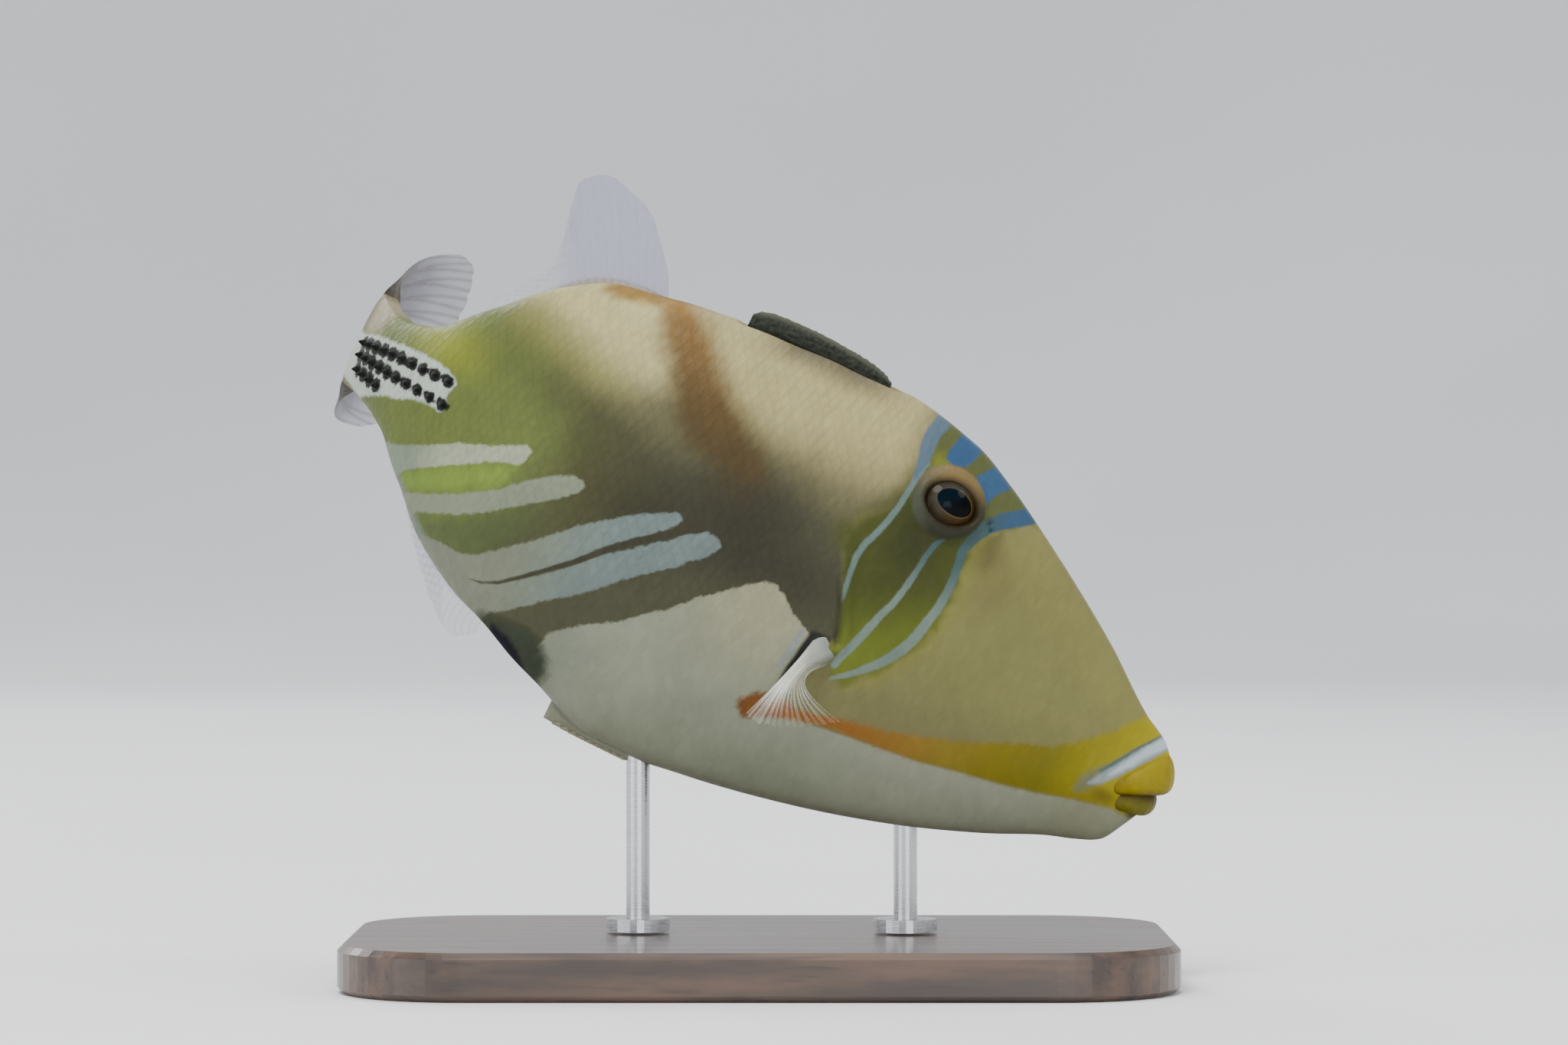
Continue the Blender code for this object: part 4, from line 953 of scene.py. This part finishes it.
# The soft fins' rays from front to rear: their length, their lean to the side and their sweep.
DORSAL_BASE = (82.8, 105.2)
DORSAL_RAY = through("""
    0,2.6 0.05,6.4 0.1,9.8 0.2,12.6 0.3,14.2 0.4,14 0.5,13.2 0.7,10.8 0.85,9.6 1,8.2
""")
DORSAL_LEAN = through("0,2 0.4,2 0.5,6 0.6,20 0.7,50 0.8,74 1,84")
DORSAL_SWEEP = through("0,24 0.1,27 0.2,32 0.4,36 0.6,33 0.8,24 1,22")
ANAL_BASE = (86.5, 105.3)
ANAL_RAY = through("0,3.5 0.1,7.5 0.25,11 0.4,11.5 0.7,9 1,5.5")
ANAL_LEAN = through("0,60 0.35,68 0.6,86 1,90")
ANAL_SWEEP = through("0,18 1,18")
RAY_STEPS = 12
STALK_END = 130.9
CAUDAL_ROOT, CAUDAL_FAN, CAUDAL_ROUND, CAUDAL_CORNER = 5.9, 22.0, 1.0, 5.0
CAUDAL_TWIST, CAUDAL_SWELL = (0.008, 0.003), (1.3, 2.3)
PECTORAL_MIDDLE = (46.0, -4.0)
PECTORAL_ROOT_TOP, PECTORAL_ROOT_BOTTOM = (47.0, -2.8), (44.3, -5.0)
PECTORAL_FOLD, PECTORAL_FOLD_OUT = (49.2, -9.4), 3.6
PECTORAL_PULL = 1.5
PECTORAL_TIP_S = through("0,51.5 0.25,49.9 0.5,46.8 0.75,43.6 1,40.4")
PECTORAL_TIP_H = through("0,-15.8 0.25,-16 0.5,-15 0.75,-13.1 1,-11")
PECTORAL_TIP_OUT = through("0,2.4 0.5,4.6 1,5.6")
ROOT_DEPTH, CAUDAL_ROOT_DEPTH = 0.6, 0.8


def edge_rays(base, edge, up, length, sweep, lean):
    """Rays along the back, with up 1, or the belly, with up -1. They leave it upright, sweep back
    and bend over by the lean, in degrees."""
    def ray_point(u, v):
        s = base[0] + (base[1] - base[0]) * u
        h, w = edge(s) - up * ROOT_DEPTH, 0
        step = (length(u) + ROOT_DEPTH) / RAY_STEPS
        swept, leant = math.radians(sweep(u)), math.radians(lean(u))
        for i in range(RAY_STEPS):
            over = leant * min(1.0, (i + 0.5) / RAY_STEPS * 1.6)
            move = step * min(1.0, max(0.0, v * RAY_STEPS - i))
            s += move * math.sin(swept) * (0.35 + 0.65 * math.cos(over))
            h += up * move * math.cos(swept) * math.cos(over)
            w += move * math.sin(over)
        return place(s, h, w)

    return ray_point


def caudal_ray(u, v):
    """The tail fin's rays, which fan out from the end of the stalk."""
    across = 2 * u - 1
    fan = math.radians(CAUDAL_FAN) * across
    length = CAUDAL_LENGTH - CAUDAL_ROUND * across**2 - CAUDAL_CORNER * across**6
    out = v * (length + CAUDAL_ROOT_DEPTH)
    swell, twist = CAUDAL_SWELL[across < 0], CAUDAL_TWIST[across < 0]
    h = (CAUDAL_ROOT + swell * math.sin(math.pi * v)) * across + out * math.sin(fan)
    return place(STALK_END - CAUDAL_ROOT_DEPTH + out * math.cos(fan), h, twist * h * out)


def pectoral_rays(side):
    """Rays that leave their root outwards and fold back to their tips."""
    outward = side_frame(*PECTORAL_MIDDLE, side)[1]
    fold = place(*PECTORAL_FOLD, side * (side_width(*PECTORAL_FOLD) + PECTORAL_FOLD_OUT))

    def ray_point(u, v):
        s, h = (a + (b - a) * u for a, b in zip(PECTORAL_ROOT_TOP, PECTORAL_ROOT_BOTTOM))
        sunk = 0.3 + 0.8 * (2 * u - 1) ** 4
        root = place(s, h, side * side_width(s, h)) - outward * sunk
        s, h = PECTORAL_TIP_S(u), PECTORAL_TIP_H(u)
        tip = place(s, h, side * (side_width(s, h) + PECTORAL_TIP_OUT(u)))
        parts = (1 - v) ** 2, PECTORAL_PULL * 2 * v * (1 - v), v**2
        return (root * parts[0] + fold * parts[1] + tip * parts[2]) / sum(parts)

    return ray_point


def pectoral_cover(u, v):
    """The folded rays at the rear are dense and white, and the front ones almost clear."""
    front = 1 - 0.68 * smooth(u, 0.2 + 0.35 * (1 - v), 0.5 + 0.5 * (1 - v))
    return front * (1 - 0.8 * smooth(v, 0.55, 1.0))


def build_fins():
    """The two soft fins, the tail fin and both pectoral fins."""
    clear = fin_material("fin_clear", (150, 150, 186), (184, 184, 204), (168, 160, 130), 0.24,
                         0.42)
    # The tail's base colour, (74, 68, 56), is painted shade in the fold where the fin leaves the
    # stalk, over the base's own tan.
    tail = fin_material("fin_tail", (126, 124, 144), (136, 132, 142), (74, 68, 56), 0.68, 0.8,
                        stain=(80, 76, 68))
    white = fin_material("fin_white", (206, 208, 198), (243, 244, 232), (118, 122, 114), 0.76, 1.0,
                         paint=linear)
    dorsal = edge_rays(DORSAL_BASE, BACK, 1, DORSAL_RAY, DORSAL_SWEEP, DORSAL_LEAN)
    anal = edge_rays(ANAL_BASE, BELLY, -1, ANAL_RAY, ANAL_SWEEP, ANAL_LEAN)
    build_fin("second_dorsal", "second_dorsal_fin", dorsal, 24, clear, 0.2, 0.06, 0.8, 0.16,
              lambda u, v: 1 - 0.78 * smooth(u, 0.5, 0.75))
    build_fin("anal", "anal_fin", anal, 21, clear, 0.18, 0.06, 0.8, 0.16, lambda u, v: 0.45)
    build_fin("caudal", "caudal_fin", caudal_ray, 12, tail, 0.13, 0.07, 1.25, 0.34,
              lambda u, v: 1 - 0.45 * smooth(v, 0.35, 1.0), branch=0.9, per_ray=18, along=64)
    for side, node in ((-1, "pectoral_fin_right"), (1, "pectoral_fin_left")):
        build_fin(node + "_web", node, pectoral_rays(side), 17, white, 0.2, 0.05, 0.5, 0.36,
                  pectoral_cover, wave=0.3)


def rough_material(name, low, high, edge):
    """A grainy skin or bone, with another colour at its edges."""
    n = Nodes(name, pigment)
    grain = n.noise(1900, 3, 0.6)
    colour = n.mix(n.attribute("edge"), n.mix(n.ramp(grain, 0.35, 0.65), low, high), edge)
    return n.shade(Base_Color=colour, Roughness=0.78, Normal=n.bump(grain, 0.15, 0.7),
                   Specular_IOR_Level=0.2)


SPINE_FRONT, SPINE_REAR = 52.9, 72.3
SPINE_RIDGE = through("52.9,27.9 54.5,28.75 58,29.35 64,29.65 69,29.45 71.4,28.9 72.3,28.2")
SPINE_MIDDLE = through("52.9,27.2 56,27.75 64,28.2 72.3,27.6")
SPINE_HALF = through("52.9,0.45 54.2,0.95 58,1.2 66,1.05 71,0.8 72.3,0.35")
SPINE_SUNK = 1.45


def build_first_dorsal(material):
    """The stout spine folded back in its groove, studded with grains, with its folded web."""
    rows, columns = 150, 56
    s = np.linspace(SPINE_FRONT, SPINE_REAR, rows)[:, None]
    middle = SPINE_MIDDLE(s)
    section = circle(columns)
    rise = np.sin(section)[None, :]
    wide = SPINE_HALF(s) * np.cos(section)[None, :]
    h = middle + np.where(rise > 0, SPINE_RIDGE(s) - middle, middle - BACK(s) + SPINE_SUNK) * rise
    bumps = np.zeros((rows, columns))
    for i in range(rows):
        for k in range(columns):
            spot = Vector((s[i, 0] * 2.4, wide[i, k] * 2.6, h[i, k] * 2.6))
            bumps[i, k] = max(0.0, noise.noise(spot)) * 0.3
    folds = 0.05 * np.sin(h * 9 + 0.8 * np.sin(s * 0.5)) * (rise < 0.5)
    spread = 1 + (bumps * (rise > 0) + folds)
    h = h + bumps * 0.5 * (rise > 0)
    # The spine's top is painted lighter: painted light from above, over a paler fuzz along its
    # top. Its raised grains are lighter too.
    edge = smooth(rise, 0.45, 1.0) * 0.8 + bumps
    spine = mesh_piece("first_dorsal", place(s, h, wide * spread), tube_faces(rows, columns),
                       material, "first_dorsal_fin", {"edge": np.clip(edge, 0, 1)})
    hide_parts("first_dorsal_fin")


def stud(points, faces, rings, sides, ring_at, flip=False):
    """Adds a pointed stud. ring_at gives a ring's middle and two half widths at a share of the
    way to its tip."""
    faces += tube_faces(rings, sides, len(points), flip=flip, near=False)
    for t in np.arange(rings) / (rings - 1):
        middle, a, b = ring_at(t)
        for turned in circle(sides):
            points.append(middle + math.cos(turned) * a + math.sin(turned) * b)


def build_stalk_spines(material):
    """Short forward-leaning spines in rows, all in one mesh."""
    points, faces = [], []
    rings, sides = 7, 12
    for side in (-1, 1):
        for at_s, at_h in spine_places():
            point, outward, forward, upward = side_frame(at_s, at_h, side)

            def ring_at(t):
                radius = 0.62 * (1 - t) ** 0.8 + 0.04
                middle = point + outward * (1.3 * t - 0.2) + forward * 0.95 * t**1.6
                return middle, radius * 1.15 * forward, radius * 0.85 * upward

            stud(points, faces, rings, sides, ring_at, flip=side < 0)
    share = np.repeat(np.arange(rings) / (rings - 1), sides)
    edge = np.tile(0.3 * share, len(points) // len(share))
    mesh_piece("stalk_spines", points, faces, material, "tail_stalk", {"edge": edge})


FLAP_FRONT, FLAP_REAR, FLAP_HIDDEN = 62.5, 74.0, 1.5
FLAP_EDGE = through("62.5,-29.75 68,-29.75 74,-29.5")
BARB_SPACING = 1.15


def build_pelvic_flap(skin, rough):
    """The keel of skin behind the pelvic bone and the barbs on its edge."""
    rows, columns = 70, 40
    t = np.linspace(0, 1, rows)[:, None]
    s = FLAP_FRONT - FLAP_HIDDEN + (FLAP_REAR - FLAP_FRONT + FLAP_HIDDEN) * t
    top = BELLY(s) + 0.5
    low = np.minimum(FLAP_EDGE(s), BELLY(s) - 0.1)
    ring = circle(columns)
    round_end = np.sqrt(np.clip(1 - np.clip((t - 0.94) / 0.06, 0, 1) ** 2, 0.04, 1))
    h = (top + low) / 2 + (top - low) / 2 * np.sin(ring)
    w = (0.95 - 0.4 * t) * round_end * np.cos(ring) * (1 + 0.35 * np.sin(ring))
    values, colours = skin_fields(np.broadcast_to(s, h.shape), h)
    values["orbit"] = values["spine_spots"] = np.full(h.shape, FAR)
    colours["orbit_tint"] = np.zeros(h.shape + (3,))
    flap = mesh_piece("pelvic_flap_skin", place(s, h, w), tube_faces(rows, columns), skin,
                      "pelvic_flap", values, colours)
    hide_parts("pelvic_flap")

    points, faces = [], []
    for at in np.arange(FLAP_FRONT + 0.1, FLAP_REAR - 1.5, BARB_SPACING):
        for side in (-1, -0.4, 0.4, 1):
            root = place(at, FLAP_EDGE(at) + 0.25, side * 0.35)
            tip = place(at + 0.9, FLAP_EDGE(at) - 0.15 + 0.3 * abs(side), side * 0.95)

            def ring_at(t):
                radius = 0.3 * (1 - t) + 0.03
                return root + (tip - root) * t, radius * FORWARD, radius * UP

            stud(points, faces, 4, 8, ring_at)
    mesh_piece("pelvic_barbs", points, faces, rough, "pelvic_flap", {"edge": np.ones(len(points))})


def wood_material():
    """A dark stained wood with fine pores."""
    n = Nodes("dark_wood")
    grain = n.noise(3.0, 6, 0.62, n.stretched(9.0, 130.0, 60.0))
    pore = n.noise(1.0, 2, 0.5, n.stretched(70.0, 1900.0, 900.0))
    colour = n.mix(n.ramp(grain, 0.32, 0.68), (46, 34, 27), (84, 62, 47))
    colour = n.mix(n.ramp(pore, 0.6, 0.72, 0.0, 0.6), colour, (26, 19, 15))
    normal = n.bump(pore, 0.06, 0.5, n.bump(grain, 0.1, 0.25))
    return n.shade(Base_Color=colour, Roughness=n.ramp(grain, 0.3, 0.7, 0.30, 0.42), Normal=normal,
                   Coat_Weight=0.35, Coat_Roughness=0.18)


def steel_material():
    """Brushed steel."""
    n = Nodes("brushed_rod")
    brushed = n.noise(1.0, 2, 0.5, n.stretched(400.0, 400.0, 9000.0))
    colour = n.mix(n.ramp(brushed, 0.3, 0.7), (176, 178, 182), (200, 201, 204))
    rough = n.ramp(brushed, 0.3, 0.7, 0.22, 0.38)
    return n.shade(Base_Color=colour, Metallic=1.0, Roughness=rough,
                   Normal=n.bump(brushed, 0.01, 0.4))


def dress_stand():
    """New materials on the stand's own nodes."""
    wood, steel = wood_material(), steel_material()
    for node, material in (("stand_base", wood), ("stand_rod_front", steel),
                           ("stand_rod_rear", steel)):
        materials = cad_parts[node].data.materials
        materials.clear()
        materials.append(material)


# The studio, in metres.
FLOOR_FLAT, FLOOR_BEND, WALL_TOP = 1.25, 0.9, 1.7
MIDDLE = (0.0, 0.01, 0.06)
LIGHTS = (
    ("key", (-0.3, -0.7, 1.15), MIDDLE, 0.6, 15, (1.0, 0.97, 0.93)),
    ("fill", (-1.05, -0.75, 0.35), MIDDLE, 0.9, 6, (0.93, 0.96, 1.0)),
    ("side", (1.1, -0.35, 0.75), MIDDLE, 0.5, 4, (1, 1, 1)),
    ("low", (0.25, -0.95, 0.07), (0.01, 0.0, 0.05), 0.5, 2.6, (1, 1, 1)),
    ("top", (0.1, 0.35, 1.3), MIDDLE, 0.8, 10, (1, 1, 1)),
    ("back", (-0.6, 0.95, 0.8), MIDDLE, 0.6, 7, (1, 1, 1)),
)


def build_stage():
    """A round pale floor that curves up into a wall, so that no horizon shows."""
    profile = [(r, 0.0) for r in np.linspace(0.02, FLOOR_FLAT, 12)]
    for a in np.linspace(0, math.pi / 2, 25)[1:]:
        profile.append((FLOOR_FLAT + FLOOR_BEND * math.sin(a), FLOOR_BEND * (1 - math.cos(a))))
    profile.append((FLOOR_FLAT + FLOOR_BEND, WALL_TOP))
    around = circle(96)
    points = [(r * math.cos(a), r * math.sin(a), z) for r, z in profile for a in around]
    mesh = bpy.data.meshes.new("studio_floor")
    mesh.from_pydata(points, [], tube_faces(len(profile), len(around), far=False))
    mesh.shade_smooth()
    n = Nodes("pale_paper")
    colour = n.mix(n.ramp(n.noise(3.0, 2), 0.3, 0.7), (226, 227, 229), (232, 233, 234))
    mesh.materials.append(n.shade(Base_Color=colour, Roughness=0.9, Specular_IOR_Level=0.1))
    new_object("studio_floor", mesh)


def add_lights():
    """Round lamps aimed at their targets, and a soft pale world."""
    for name, at, target, size, power, colour in LIGHTS:
        data = bpy.data.lights.new(name, "AREA")
        data.shape, data.size, data.energy, data.color = "DISK", size, power, colour
        light = new_object(name, data)
        light.location = at
        light.rotation_euler = (Vector(target) - Vector(at)).to_track_quat("-Z", "Y").to_euler()
    world = bpy.data.worlds.new("studio")
    world.use_nodes = True
    background = world.node_tree.nodes["Background"].inputs
    background["Color"].default_value = (0.93, 0.96, 1.0, 1)
    background["Strength"].default_value = 0.6
    bpy.context.scene.world = world


def add_camera():
    """Looks level along +Y, so that the snout falls where the photograph has it."""
    right = (SNOUT_PIXEL[0] - IMAGE_WIDTH / 2) / PIXELS_PER_MM
    below = (SNOUT_PIXEL[1] - IMAGE_HEIGHT / 2) / PIXELS_PER_MM
    data = bpy.data.cameras.new("camera")
    data.sensor_width = SENSOR_WIDTH
    data.lens = SENSOR_WIDTH * CAMERA_DISTANCE * PIXELS_PER_MM / IMAGE_WIDTH
    data.clip_start, data.clip_end = 0.01, 50
    camera = new_object("camera", data)
    camera.location = Vector(SNOUT + np.array([-right, -CAMERA_DISTANCE, below])) * MM
    camera.rotation_euler = Euler((math.pi / 2, 0, 0))
    bpy.context.scene.camera = camera


def main():
    skin = skin_material()
    build_skin(skin)
    build_mouth()
    wet = eye_material()
    build_eye(-1, "eye_right", wet)
    build_eye(1, "eye_left", wet)
    build_fins()
    build_first_dorsal(rough_material("rough_spine", (40, 43, 38), (62, 66, 58), (98, 100, 88)))
    build_stalk_spines(rough_material("stalk_barbs", (26, 27, 26), (44, 46, 43), (60, 62, 58)))
    bone = rough_material("bone_barbs", (150, 148, 128), (172, 170, 150), (166, 164, 142))
    build_pelvic_flap(skin, bone)
    dress_stand()
    build_stage()
    add_lights()
    add_camera()


main()
